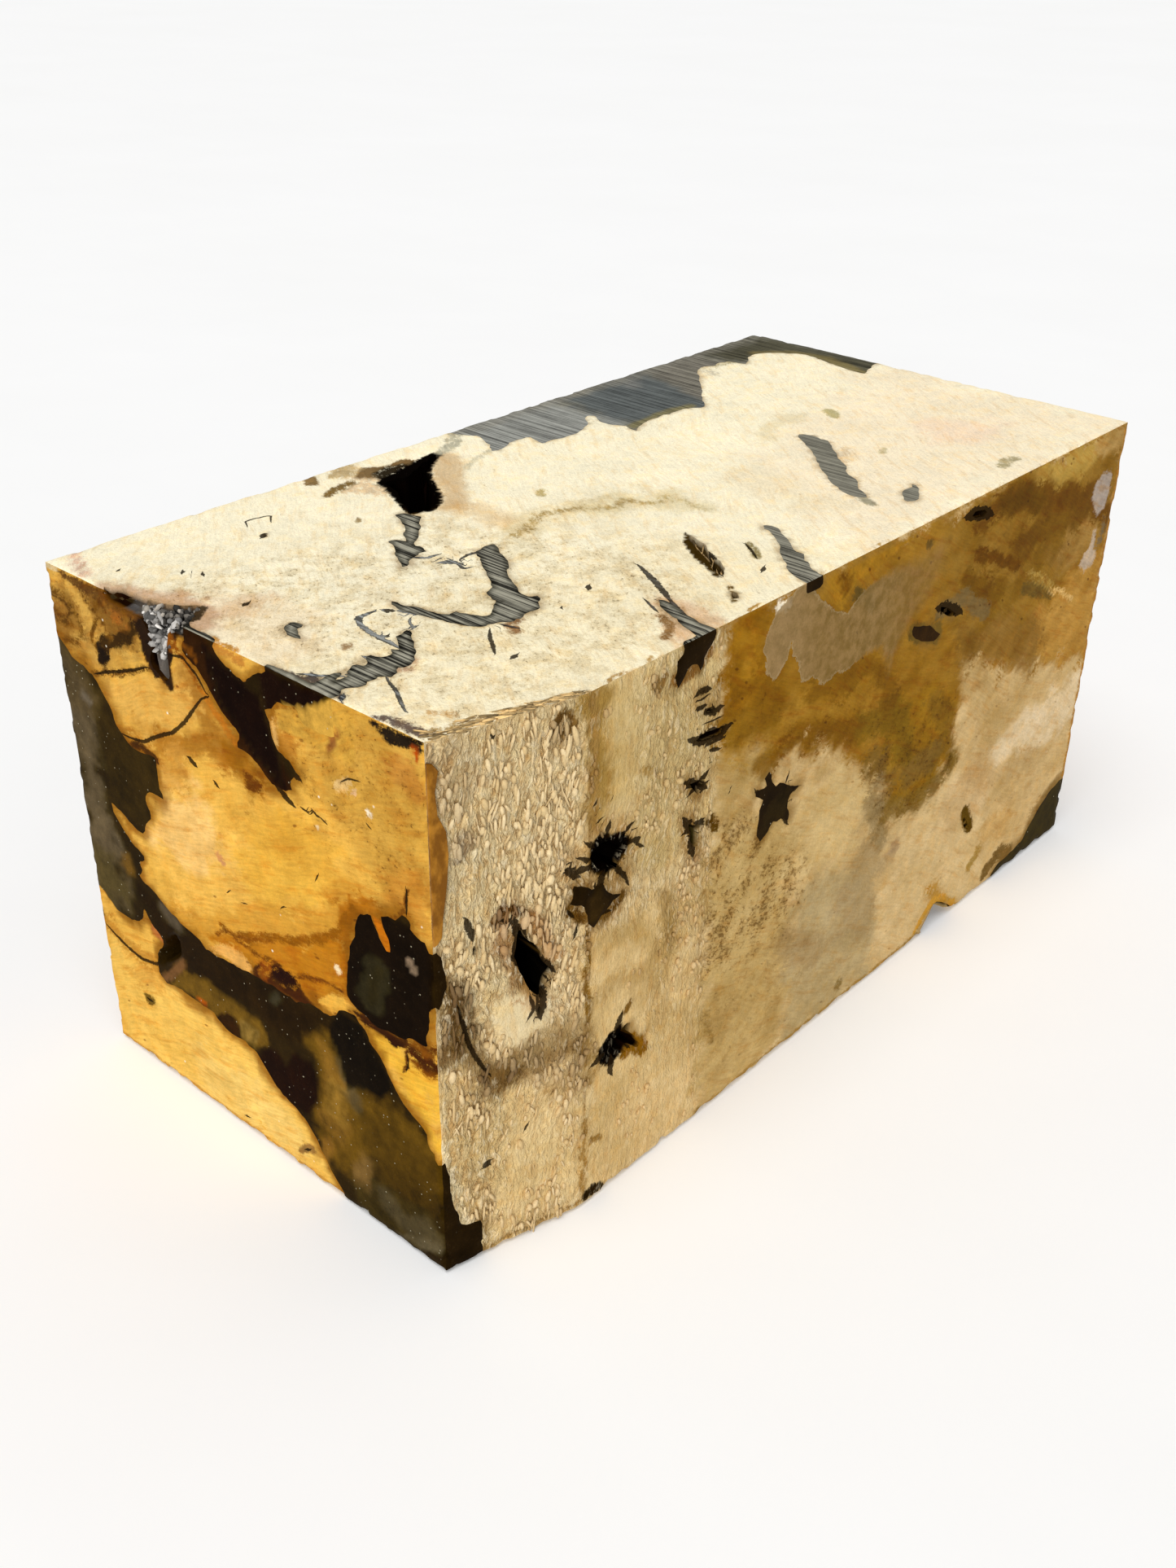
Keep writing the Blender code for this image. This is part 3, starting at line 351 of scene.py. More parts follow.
    ([(20.6, 10), (20.8, 0)], 0.3, 0.8, (158, 118, 62), 0.6),
    ([(22, 42), (27, 41.4), (32, 38.4), (35, 34), (36, 30)], 0.3, 1.8, (168, 134, 80), 0.6),
    ([(23, 33.4), (27, 34.4), (31, 33), (35, 34.6), (38, 38)], 0.3, 1.5, (160, 126, 74), 0.65),
    ([(31, 31.6), (34, 28), (36, 23)], 0.4, 2.0, (170, 136, 84), 0.55),
    ([(28.6, 21.2), (30, 22.4), (32.6, 19.6)], 0.4, 1.0, (124, 82, 26), 0.9),
    ([(28.2, 28.2), (29.2, 29)], 0.2, 0.6, (118, 84, 40), 0.8),
    ([(22.8, 24.4), (25, 26.2), (27.6, 26.8), (28.4, 24.4), (28, 22), (25.8, 20.8), (23.8, 22)], 0.45,
     (15, 11, 7), 1.0),
    ([(20.6, 0), (20.8, 1.4), (22.6, 2.6), (24.6, 1.6), (25.4, 0)], 0.6, (40, 30, 16), 0.95),
    ([(36, 72.8), (37.6, 73), (40, 73), (42.4, 74.4)], 0.3, 1.0, (128, 90, 48), 0.8),
    ([(32, 74.4), (33, 72.6), (34, 74)], 0.2, 0.7, (140, 106, 60), 0.8),
    ([(39.4, 68.2), (44.6, 67.4)], 0.2, 1.6, (158, 122, 72), 0.5),
    ([(39, 58), (41.4, 54.6), (43.4, 55)], 0.3, 1.3, (150, 110, 58), 0.7),
    ([(39, 52.4), (40, 48), (42, 46)], 0.4, 1.3, (140, 102, 54), 0.75),
    ([(44.6, 49.6), (45.4, 48.2)], 0.4, 0.7, (86, 60, 24), 0.9),
    ([(30, 63), (33, 61.6)], 0.2, 0.7, (158, 124, 70), 0.6),
    ([(36, 42), (37.6, 36), (38.4, 33)], 0.4, 1.4, (146, 114, 62), 0.6),
    # The honey and grey part, smooth with wax.
    ([(44.6, 0), (152.4, 0), (152.4, 77.2), (44.6, 77.2)], 2.6, (186, 153, 102), 1.0),
    ([(45, 0), (66, 0), (66, 30), (60, 45), (45, 48)], 4, (178, 146, 91), 0.9),
    ([(66, 0), (90, 0), (90, 14), (82, 26), (66, 28)], 4, (170, 145, 101), 0.95),
    ([(78, 26), (88, 34), (91, 22), (86, 8), (78, 14)], 4, (156, 130, 90), 0.7),
    ([(62, 30), (66, 46), (76, 44), (84, 36), (80, 28)], 4, (192, 161, 107), 0.85),
    ([(92, 0), (122, 0), (124, 20), (112, 30), (96, 26), (91, 14)], 3.5, (197, 166, 116), 0.95),
    ([(106, 24), (118, 30), (128, 24), (120, 16), (108, 16)], 4, (187, 153, 106), 0.7),
    ([(122, 14), (152.4, 16), (152.4, 6), (126, 4)], 4, (194, 160, 108), 0.8),
    # A painted reflection: the soft pale area low on the far part of the waxed front.
    ([(122, 30), (152.4, 33), (152.4, 23), (136, 22), (124, 25)], 3, (208, 181, 140), 0.95),
    ([(44.6, 77.2), (44.6, 58), (52, 55.4), (60, 52.6), (70, 50), (78, 45), (86, 38), (91, 31), (98, 30),
      (106, 33), (108, 42), (118, 44), (130, 42), (138, 38), (152.4, 36), (152.4, 77.2)], 2.5, (138, 97, 34),
     1.0),
    ([(128, 50), (152.4, 56), (152.4, 37), (140, 38), (130, 42)], 3, (168, 123, 57), 0.9),
    ([(96, 77.2), (152.4, 77.2), (152.4, 60), (128, 52), (110, 50), (98, 60)], 3, (130, 94, 38), 0.8),
    ([(84, 50), (88, 40), (92, 31), (100, 30), (107, 33), (106, 46), (99, 50)], 2.5, (134, 94, 26), 0.9),
    ([(45, 77.2), (52, 77.2), (54, 66), (45, 60)], 2.5, (128, 84, 14), 0.9),
    ([(45, 60), (56, 57), (54, 48), (45, 46)], 3, (170, 138, 84), 0.8),
    ([(46, 62), (54, 62), (56, 57), (48, 56)], 2, (158, 118, 50), 0.7),
    ([(122, 77.2), (146, 77.2), (142, 73), (134, 71), (124, 74.4)], 1.6, (168, 132, 62), 0.9),
    ([(134, 64), (146, 64), (148, 57), (138, 56)], 2.5, (154, 116, 60), 0.8),
    ([(141, 77.2), (152.4, 77.2), (152.4, 73.4), (145, 73)], 1.4, (174, 138, 82), 0.8),
    ([(106, 72.8), (114, 74), (122, 72.6), (134, 69.4), (146, 65), (152, 61)], 1.0, 1.7, (98, 62, 18), 0.9),
    ([(113, 73.4), (119, 73.4), (125, 71)], 0.5, 1.4, (88, 60, 16), 0.8),
    ([(106.6, 67.6), (112, 65.8), (120, 62)], 0.4, 1.1, (98, 62, 12), 0.8),
    ([(104, 64.4), (110, 61.4), (116, 59)], 0.5, 1.3, (96, 62, 12), 0.8),
    ([(121, 64.6), (130, 66.4), (140, 65.6)], 1.4, 2.2, (100, 66, 22), 0.8),
    ([(114, 57), (122, 58), (128, 59.6)], 0.8, 2.2, (114, 80, 26), 0.6),
    ([(124, 56.8), (130, 55), (134, 52.8)], 0.5, 1.2, (100, 76, 36), 0.75),
    ([(134, 53.8), (138, 51.6), (142, 49.2)], 0.2, 0.7, (206, 164, 98), 0.6),
    ([(124, 59.6), (130, 57), (134, 54.4)], 0.2, 0.7, (160, 126, 62), 0.6),
    ([(110, 49.6), (118, 50), (126, 47), (130, 43)], 1.8, 2.4, (128, 92, 42), 0.8),
    ([(105, 54), (108, 53), (111, 51)], 1.0, 1.6, (112, 78, 32), 0.75),
    ([(129, 61), (132, 63), (136, 61), (138, 58.6), (134, 57.6), (131, 59)], 2.0, (140, 106, 60), 0.4),
    ([(124, 66), (136, 66), (136, 60), (126, 58)], 2.2, (112, 78, 28), 0.7),
    ([(110, 46.6), (114, 42.6), (118, 38), (121, 33.4)], 1.4, 2.2, (180, 147, 95), 0.85),
    ([(100, 46), (104, 42), (107, 33)], 0.6, 1.8, (108, 76, 28), 0.75),
    ([(84, 42), (90, 38.6), (96, 35.6), (101, 36)], 1.0, 2.2, (106, 80, 40), 0.75),
    ([(85, 36), (86.6, 31), (88, 27.4)], 1.0, 2.0, (130, 106, 68), 0.8),
    ([(89, 31), (95, 30), (99, 29.2), (106, 30.4), (108, 32.6)], 0.6, 1.5, (112, 84, 36), 0.85),
    ([(106, 34), (107.6, 34), (108.2, 32.4), (106.4, 31.8)], 0.7, (88, 62, 18), 0.85),
    ([(88, 45), (92, 44.4), (94, 41), (91, 36.6), (88.4, 40)], 2.4, (158, 114, 36), 0.75),
    ([(80, 50), (86, 48.6), (90, 46), (92.6, 40)], 1.2, 2.0, (106, 78, 24), 0.75),
    ([(56, 53.6), (63, 55), (70, 52.6), (76, 50.4)], 0.7, 1.7, (108, 70, 12), 0.8),
    ([(56, 58.6), (64, 59.6), (72, 57), (80, 55)], 0.8, 2.2, (148, 106, 38), 0.7),
    ([(66, 60.4), (74, 59), (80, 59.4), (84, 55), (85.6, 51)], 0.4, 1.8, (102, 66, 14), 0.65),
    ([(46, 63.4), (50, 60.4), (56, 61)], 0.8, 2.0, (114, 76, 16), 0.7),
    ([(48, 69), (53, 66), (57, 62)], 0.6, 2.0, (120, 80, 16), 0.7),
    ([(47, 75), (50, 72), (51, 69)], 0.5, 1.6, (152, 106, 34), 0.7),
    ([(66, 77.2), (68, 73), (71, 70.6), (74, 73), (82, 75), (90, 76), (90, 77.2)], 1.1, (150, 106, 34), 0.9),
    ([(70, 77), (71.4, 73.6)], 0.3, 0.8, (112, 72, 12), 0.7),
    ([(61.4, 77.2), (61.6, 75.6), (63, 75), (64.8, 75.8), (65, 77.2)], 0.6, (58, 54, 44), 0.9),
    ([(74, 71.4), (77, 70.6)], 0.5, 1.0, (94, 72, 36), 0.75),
    ([(77.4, 69.6), (78.4, 68.4)], 0.7, 0.9, (104, 84, 48), 0.75),
    ([(91.6, 73.6), (92.2, 73.2)], 0.3, 0.7, (94, 70, 34), 0.85),
    ([(98, 61.4), (104, 61.6), (109, 58.6), (112, 57)], 0.7, 1.2, (112, 88, 52), 0.8),
    ([(90.6, 60.6), (94, 59.4), (98, 57.8)], 0.6, 1.2, (96, 74, 34), 0.8),
    ([(115, 19.2), (116.4, 17.2), (117.4, 15.4)], 0.7, 0.9, (84, 60, 20), 0.9),
    ([(119.6, 6.4), (121, 7.6), (122, 9.4)], 0.4, 1.0, (156, 122, 62), 0.7),
    ([(106.4, 8.6), (108.4, 6.4), (110.4, 4.6)], 0.4, 1.3, (164, 116, 38), 0.85),
    ([(103, 1), (106, 3.8), (108.6, 5.2), (112, 4), (116.6, 0.6)], 0.3, 0.8, (184, 134, 54), 0.8),
    ([(126, 2.2), (130, 4.4), (134, 3)], 0.7, 1.2, (112, 84, 46), 0.8),
    ([(138, 1.5), (142, 6.6), (147, 9.6), (152, 10.4)], 0.5, 1.3, (124, 94, 52), 0.75),
    ([(152, 77), (152, 10)], 0.2, 1.0, (158, 108, 44), 0.7),
    ([(45, 0.4), (104, 0.4)], 0.1, 0.7, (148, 114, 60), 0.7),
    ([(45, 77), (152, 77)], 0.1, 0.5, (140, 102, 44), 0.6),
    ([(90, 23), (94, 25), (95, 22), (92, 21.6)], 1.2, (162, 132, 94), 0.7),
    ([(64, 20), (70, 16), (72, 14)], 1.2, 2.2, (148, 120, 80), 0.6),
    ([(113, 28), (117, 26), (120, 22)], 0.5, 1.6, (172, 134, 84), 0.6),
    ([(128, 21.4), (134, 21), (139, 20.4)], 0.7, 1.8, (174, 142, 94), 0.65),
    ([(124, 12), (131, 10.4)], 0.8, 2.2, (184, 142, 82), 0.6),
    ([(80.4, 3.4), (81, 3)], 0.5, 0.9, (132, 106, 62), 0.7),
    ([(46, 17), (47.4, 13.6), (48, 12)], 0.4, 1.0, (142, 110, 60), 0.6),
    # Painted highlights: the two pale patches of gloss on the wax near the far end.
    ([(142.8, 66), (143.6, 69), (146, 70.2), (149.4, 69.4), (150, 66), (149, 63.4), (146, 62.6),
      (144.4, 65)], 0.9, (156, 138, 122), 0.95),
    ([(145.8, 60.6), (147.2, 60), (147.6, 57), (149, 54.8), (148, 53.4), (145, 53), (143.2, 55), (144, 56.6),
      (145.8, 57.4)], 0.9, (174, 150, 124), 0.9),
    ([(149, 62), (151, 60), (150, 56), (148, 57)], 1.0, (112, 90, 62), 0.7),
    ([(55.8, 75.8), (58.4, 75.4)], 0.5, 0.4, (222, 206, 178), 0.9),
], "back": [
    ([(5, 70), (20, 72), (45, 71)], 1, 4, (210, 172, 112), 0.7),
    ([(10, 10), (50, 14), (90, 8), (130, 9)], 1, 5, (168, 128, 74), 0.7),
    ([(70, 12), (90, 17), (120, 10)], 0.8, 5, (158, 120, 68), 0.4),
    ([(20, 71), (60, 73), (96, 70)], 0.6, 4, (168, 130, 78), 0.35),
    ([(0, 0), (0, 26), (14, 27), (24, 12), (20, 0)], 4, (212, 166, 100), 0.7),
], "far": [
    ([(5, 60), (20, 52), (34, 44)], 1.6, 6, (190, 128, 52), 0.5),
    ([(4, 40), (16, 34), (30, 30)], 1.2, 5, (182, 120, 48), 0.45),
    ([(0, 77.2), (20, 77.2), (14, 64), (0, 60)], 3, (190, 126, 50), 0.7),
    ([(20, 0), (70, 0), (70, 10), (40, 12)], 3, (236, 186, 92), 0.7),
], "under": [
    ([(20, 60), (60, 50), (110, 58)], 1, 6, (180, 146, 96), 0.6),
    ([(30, 20), (70, 30), (120, 26)], 1, 2.4, (158, 124, 74), 0.5),
]}

# Thin open lines: their points, their width at the middle in mm, and 1 where grey resin fills them. The open
# ones are painted dark, as painted shade inside them.
CRACKS = {"top": [
    ([(7.7, 19.3), (6.9, 17.6), (6, 15.6), (4.4, 13.2), (3.4, 11.2)], 0.4, 0.6),
    ([(24.6, 19.6), (23, 18), (21.6, 16.2), (20.2, 14.4)], 0.45, 0),
    ([(19.4, 26.6), (18.6, 26.4), (19.4, 28), (20.4, 28.8)], 0.3, 0.7),
    ([(37, 37.4), (39, 37.8), (41, 37.4)], 0.45, 0.3),
    ([(45.4, 8.6), (47, 11), (48.6, 13.6), (50.4, 16.8), (51.8, 19.6)], 0.85, 0.15),
    ([(42.6, 3.4), (44.6, 7), (46.4, 10.4)], 0.5, 0.2), ([(67.2, 13.8), (65.6, 11.4), (64, 9.4)], 0.3, 0),
    ([(25.4, 66.4), (26.4, 68.2), (28.8, 68.1), (30.2, 67.4), (28.6, 65.4)], 0.2, 0),
    ([(13.6, 22.4), (13.9, 25.4), (14.2, 29), (14.8, 31.6), (16, 33.4), (18.2, 33.4), (19.6, 33)], 0.75, 1),
    ([(20.6, 31.6), (21.6, 30), (22, 28)], 0.8, 1), ([(33, 43), (34.4, 41), (36.6, 40.6)], 0.5, 0.8),
    ([(34.4, 38.6), (35.4, 38), (36.4, 36.4)], 1.1, 0.9),
    ([(36.4, 37.6), (35.4, 35), (36.4, 34.6)], 0.5, 0.6), ([(1.6, 19.4), (0.4, 18.4)], 0.6, 0.8),
    ([(4.6, 22.6), (2.6, 25), (1.4, 27)], 0.5, 1), ([(9.4, 25), (10, 22.6)], 0.7, 1),
    ([(19.4, 33.2), (20.4, 31.6)], 1.2, 0), ([(8.8, 46.2), (10, 46.6)], 0.8, 0),
    ([(24.2, 61.8), (25.6, 63)], 0.9, 0), ([(61, 6.4), (62.6, 7.2)], 0.6, 0),
    ([(61.4, 15.4), (59, 12.2), (56.4, 9.4)], 1.0, 0), ([(9.8, 59.6), (10.4, 60.4)], 0.5, 0),
    ([(11, 57), (11.6, 58)], 0.4, 0), ([(4.6, 66.2), (5, 66.4)], 0.5, 0),
    ([(20.5, 12.2), (21.9, 12.4)], 0.6, 0), ([(41.4, 18.8), (42.4, 19.7)], 0.9, 0),
    ([(34.8, 17.4), (35.2, 17.8)], 0.4, 0), ([(42, 8), (44, 12)], 0.3, 0.2),
    ([(26.4, 19.8), (27, 17.2)], 0.4, 0.2), ([(14.6, 26.6), (15.2, 27.2)], 0.5, 0),
], "near": [
    ([(33, 69.2), (31.4, 68.4), (29.8, 66.6), (27.2, 63.6), (24.4, 61.2), (20, 58.8), (17.4, 57.2),
      (14, 56.6), (12.4, 56.6)], 0.45, 0),
    ([(0.4, 20.7), (3, 19.7), (6, 18.9), (9, 18.5), (12.6, 19.4), (14.6, 21)], 0.5, 0),
    ([(20.6, 69), (17.4, 67.5), (13.4, 65.9), (10.4, 64.8), (8, 63.7)], 0.35, 0),
    ([(27, 58.7), (28.7, 57.9)], 0.8, 0), ([(32, 57.2), (32.8, 56.6)], 0.6, 0),
    ([(66.6, 53.4), (66.8, 57)], 0.25, 0), ([(44, 62.2), (46.4, 60.5), (48, 59.9)], 0.8, 0),
    ([(47, 65), (49.5, 64.2)], 0.8, 0), ([(51, 60.8), (52.2, 60.2)], 0.3, 0),
    ([(49, 60.3), (50.4, 60.2)], 0.2, 0), ([(52.4, 60.4), (53.6, 60)], 0.2, 0),
    ([(60.6, 63), (61.4, 62.6)], 0.15, 0), ([(50.6, 50.8), (51.2, 52)], 0.15, 0),
    ([(43.2, 43.4), (44, 44)], 0.15, 0), ([(32, 40.6), (32.8, 41.2)], 0.12, 0),
    ([(35.2, 40.4), (36, 40.7)], 0.12, 0), ([(9, 11.3), (10, 11.5)], 0.4, 0),
    ([(30.4, 1.9), (31, 2)], 0.6, 0), ([(56.6, 66.8), (58, 67.8), (60, 68.2)], 0.12, 0),
    ([(65.4, 32.6), (65.6, 31), (65, 29.8)], 0.2, 0), ([(43.4, 3.6), (44.6, 4.4)], 0.4, 0),
    ([(26, 72.4), (28.4, 73), (31, 71.4), (32.6, 69.4)], 0.35, 0),
], "front": [
    ([(39.8, 69.2), (41, 69.6), (43, 69.2)], 0.9, 0), ([(40.4, 67.4), (42.6, 67)], 0.7, 0),
    ([(42.2, 66), (44, 65.6), (45.6, 66)], 0.95, 0), ([(43.4, 63.4), (45, 62.8)], 0.5, 0),
    ([(39.2, 63.4), (42, 62.4), (45, 62.2), (47.6, 62.6)], 1.7, 0),
    ([(38.8, 57.6), (41, 56.4), (43.4, 55)], 1.6, 0), ([(39.6, 55.6), (42, 56.4), (43.6, 57.6)], 0.8, 0),
    ([(39, 52.4), (40.4, 50), (40.8, 47), (41.4, 45.6)], 1.7, 0), ([(40, 49.4), (43, 50.6)], 1.0, 0),
    ([(96.2, 62.5), (99, 61.7), (101.6, 60.6), (104.4, 59.2)], 1.9, 0),
    ([(101.4, 75), (105, 74.6), (109.8, 73.1)], 2.3, 0),
    ([(10.4, 51), (11, 49), (12, 46), (13, 42), (13.6, 39)], 1.5, 0),
    ([(11.4, 46), (13.6, 44), (16.2, 40.6)], 1.0, 0), ([(13.4, 41), (14.6, 38), (14, 34.4)], 1.1, 0),
    ([(10.8, 47.6), (10.6, 45), (11.8, 42.6)], 0.8, 0), ([(10.4, 50.4), (9, 50.8)], 0.6, 0),
    ([(24, 57), (24.6, 58.6)], 0.7, 0), ([(27, 55.8), (29, 56.4)], 0.6, 0),
    ([(28, 53.8), (30.4, 53.6)], 0.7, 0), ([(25.4, 52), (26.6, 50.6), (28, 48.9)], 0.9, 0),
    ([(22, 56), (20.4, 57.4)], 0.7, 0), ([(21.4, 53.8), (18.8, 53.6)], 0.9, 0),
    ([(23.6, 52), (22.8, 50)], 1.0, 0), ([(19.4, 46), (18.8, 44.4)], 0.5, 0),
    ([(22.8, 46.2), (25, 45.6)], 0.5, 0), ([(20.6, 49.4), (22.8, 50)], 0.7, 0),
    ([(3.2, 41), (3.6, 38.6), (4.4, 35.4), (5.4, 32), (7, 29)], 0.55, 0),
    ([(17.2, 54.6), (18.4, 54), (19.8, 52.6)], 1.0, 0), ([(4.4, 53), (5, 51), (5.2, 49.6)], 0.8, 0),
    ([(11.8, 17.6), (12.2, 18.6)], 0.35, 0), ([(6, 14.4), (6.8, 15)], 1.3, 0),
    ([(8.3, 75), (8.5, 75.8)], 0.6, 0), ([(40.2, 67.2), (42.4, 67)], 0.6, 0),
    ([(43.6, 60.2), (45.4, 59.9)], 0.5, 0), ([(21.6, 62), (22, 62.4)], 0.6, 0),
    ([(26.4, 26), (27.8, 28.4)], 1.0, 0), ([(24.4, 23.6), (22, 23)], 1.0, 0),
    ([(25.8, 22.6), (25.6, 20), (26, 19.2)], 1.1, 0), ([(27.6, 23.2), (29.2, 21.8)], 1.0, 0),
    ([(24.7, 61.6), (25, 61.9)], 0.6, 0), ([(22.4, 59.3), (23, 59.7)], 0.4, 0),
    ([(17.9, 48.8), (18.8, 47.4)], 0.4, 0), ([(41, 50.8), (43, 49.8)], 0.5, 0),
    ([(29.4, 53.2), (31, 52)], 0.4, 0), ([(27, 50.4), (28.4, 47.6)], 0.5, 0),
    ([(19.2, 55.6), (21.6, 54.6)], 0.4, 0), ([(12.6, 38.6), (13.2, 36.4), (12.2, 35)], 0.5, 0),
    ([(14, 42.4), (15.8, 41.4)], 0.5, 0), ([(53.8, 50), (56, 48.4)], 0.7, 0),
    ([(61, 48.4), (61.6, 49.6)], 0.4, 0), ([(62, 46.4), (64, 46.4)], 0.8, 0),
    ([(60.8, 43.4), (62.2, 41.2)], 0.8, 0), ([(48, 52.4), (48.4, 52.8)], 0.5, 0),
]}

# Films of scraped grey wax on the front, with sharp torn edges.
FILMS = [
    [(53.2, 70.4), (53.6, 72.4), (55, 74.4), (57, 76), (59, 76.8), (62, 77.4), (64, 75.6), (66, 73.4),
     (69, 71.2), (72.5, 69.6), (75, 71.4), (79, 72.6), (84, 73.6), (90, 73.6), (95, 75), (99, 74),
     (98, 69), (95, 64), (90, 61.6), (86.6, 58), (85.4, 54.6), (84.4, 54.2), (83.4, 57.4), (81.4, 60.6),
     (78, 61.2), (73, 60.6), (70.6, 61.2), (68, 60.2), (66.6, 61.6), (65, 62.8), (63.6, 62.4),
     (62.2, 63.6), (61.6, 66), (60.2, 67.6), (59.4, 70), (59, 67.2), (58.4, 67.4), (57.8, 66.6),
     (56.8, 65.4), (56, 65.4), (55.4, 66.6), (54.4, 66.8), (54, 69.4)],
]

# Where dark flecks crowd the wood.
FLECKS = {
    "top": [([(0, 0), (46, 0), (64, 20), (48, 50), (0, 64)], 8, 0.7),
            ([(52, 34), (76, 30), (76, 40), (56, 44)], 3, 0.5)],
    "near": [([(0, 0), (70.7, 0), (70.7, 77.2), (0, 77.2)], 4, 0.4),
             ([(50, 56), (70.7, 52), (70.7, 77.2), (44, 77.2)], 4, 0.7),
             ([(20, 34), (34, 38), (44, 46), (52, 58), (48, 50), (36, 40)], 3, 0.4),
             ([(45, 58), (47, 61.4), (56, 62), (58, 59.4), (50, 57.4)], 1.8, 0.6),
             ([(0, 66), (20, 70), (20, 77.2), (0, 77.2)], 2, 0.7)],
    "front": [([(45, 0), (152.4, 0), (152.4, 77.2), (45, 77.2)], 3, 0.3),
              ([(43, 22), (43, 50), (56, 47), (58, 40), (68, 34), (70, 27), (62, 21), (50, 20)], 3, 1.0),
              ([(45, 6), (45, 22), (66, 24), (74, 12), (60, 4)], 4, 0.6),
              ([(45, 77.2), (45, 54), (75, 48), (90, 56), (80, 62), (60, 62)], 3, 0.6),
              ([(80, 52), (96, 50), (108, 44), (109, 31), (98, 28), (86, 26), (82, 36)], 3, 0.8),
              ([(104, 70), (120, 74), (146, 66), (140, 58), (112, 58)], 3, 0.5),
              ([(55, 77.2), (96, 77.2), (90, 60), (62, 60)], 2, 0.3),
              ([(10, 20), (10, 31), (21, 31), (21, 20)], 3, 0.8),
              ([(16, 57), (18, 46), (28, 44), (31, 54), (24, 61)], 2, 0.7)],
}

# Where a gap's outline on a face is that of the wood, though the gap passes just under it.
KEPT = {
    "top": [[(0.9, 23.9), (7, 24.4), (7, 46.6), (0.7, 46.4)],
            [(36.2, 0.5), (36.2, 13), (45, 13), (43, 8.4), (41.5, 4.8), (40.4, 2), (40, 0.5)],
            [(43.2, 0.5), (43.2, 2.6), (43.9, 5.2), (45.4, 9), (49, 9.4), (48, 0.5)]],
    "front": [[(41.4, 74.2), (43.4, 76), (44.4, 79), (50, 79), (50, 68), (40.4, 70)],
              [(60, 75.4), (66.4, 75.4), (66.4, 72), (60, 72)]],
}

# The colours at the bottom of open hollows, where the painted shade of depth doesn't leave them black. The
# near-black ones are painted shade as well: the top's big hollow, the dark below the near end's crumbs and
# the facet's hole.
FLOORS = {
    "top": [([(50, 0), (50, 24), (70, 24), (70, 0)], (104, 82, 48)),
            ([(43, 51), (43, 72), (62, 72), (68, 71), (60, 60), (50, 52)], (20, 15, 10)),
            ([(0, 44), (0, 60), (8, 54)], (96, 90, 86))],
    "near": [([(17, 71.6), (17, 78), (30, 78), (30, 71.6)], (92, 88, 84)),
             ([(17, 66), (17, 71.6), (30, 71.6)], (24, 17, 10)),
             ([(60, 74), (60, 78), (71, 78)], (44, 38, 34))],
    "front": [([(38, 44), (38, 49.6), (43, 49.6), (43, 44)], (92, 78, 44)),
              ([(8, 36), (8, 53), (18, 53), (18, 36)], (9, 6, 4))],
}

# How torn the sawn fibres are on the front, and where the saw left it smooth.
TORN = [
    ([(0, 0), (20.3, 0), (20.3, 77.2), (0, 77.2)], 1.2, 1.0),
    ([(20.3, 0), (45, 0), (45, 77.2), (20.3, 77.2)], 0.5, 0.6),
    ([(21.2, 58), (29, 58.5), (29.6, 66), (29, 77.2), (21.2, 77.2)], 4.0, 0.1),
    ([(21.2, 16), (32, 16), (35, 42), (21.4, 43)], 2.0, 0.14),
    ([(21, 0), (46, 0), (46, 18), (21, 18)], 3.0, 0.25),
    ([(34, 14), (44, 14), (44, 34), (36, 34)], 3.0, 0.4),
    ([(7.8, 39), (12, 40), (15.4, 37), (15, 33), (11, 31), (8, 33.6)], 0.8, 0.1),
    ([(3, 27), (20.3, 25), (20.3, 33), (8, 31), (2, 34)], 2.0, 0.45),
    ([(7, 2), (20, 2), (20, 24), (10, 26)], 2.0, 0.4),
]

RESIN_BASE = {
    "top": (124, 125, 114), "near": (46, 36, 16), "front": (34, 27, 12),
    "back": (44, 36, 20), "far": (46, 36, 18), "under": (76, 74, 66),
}

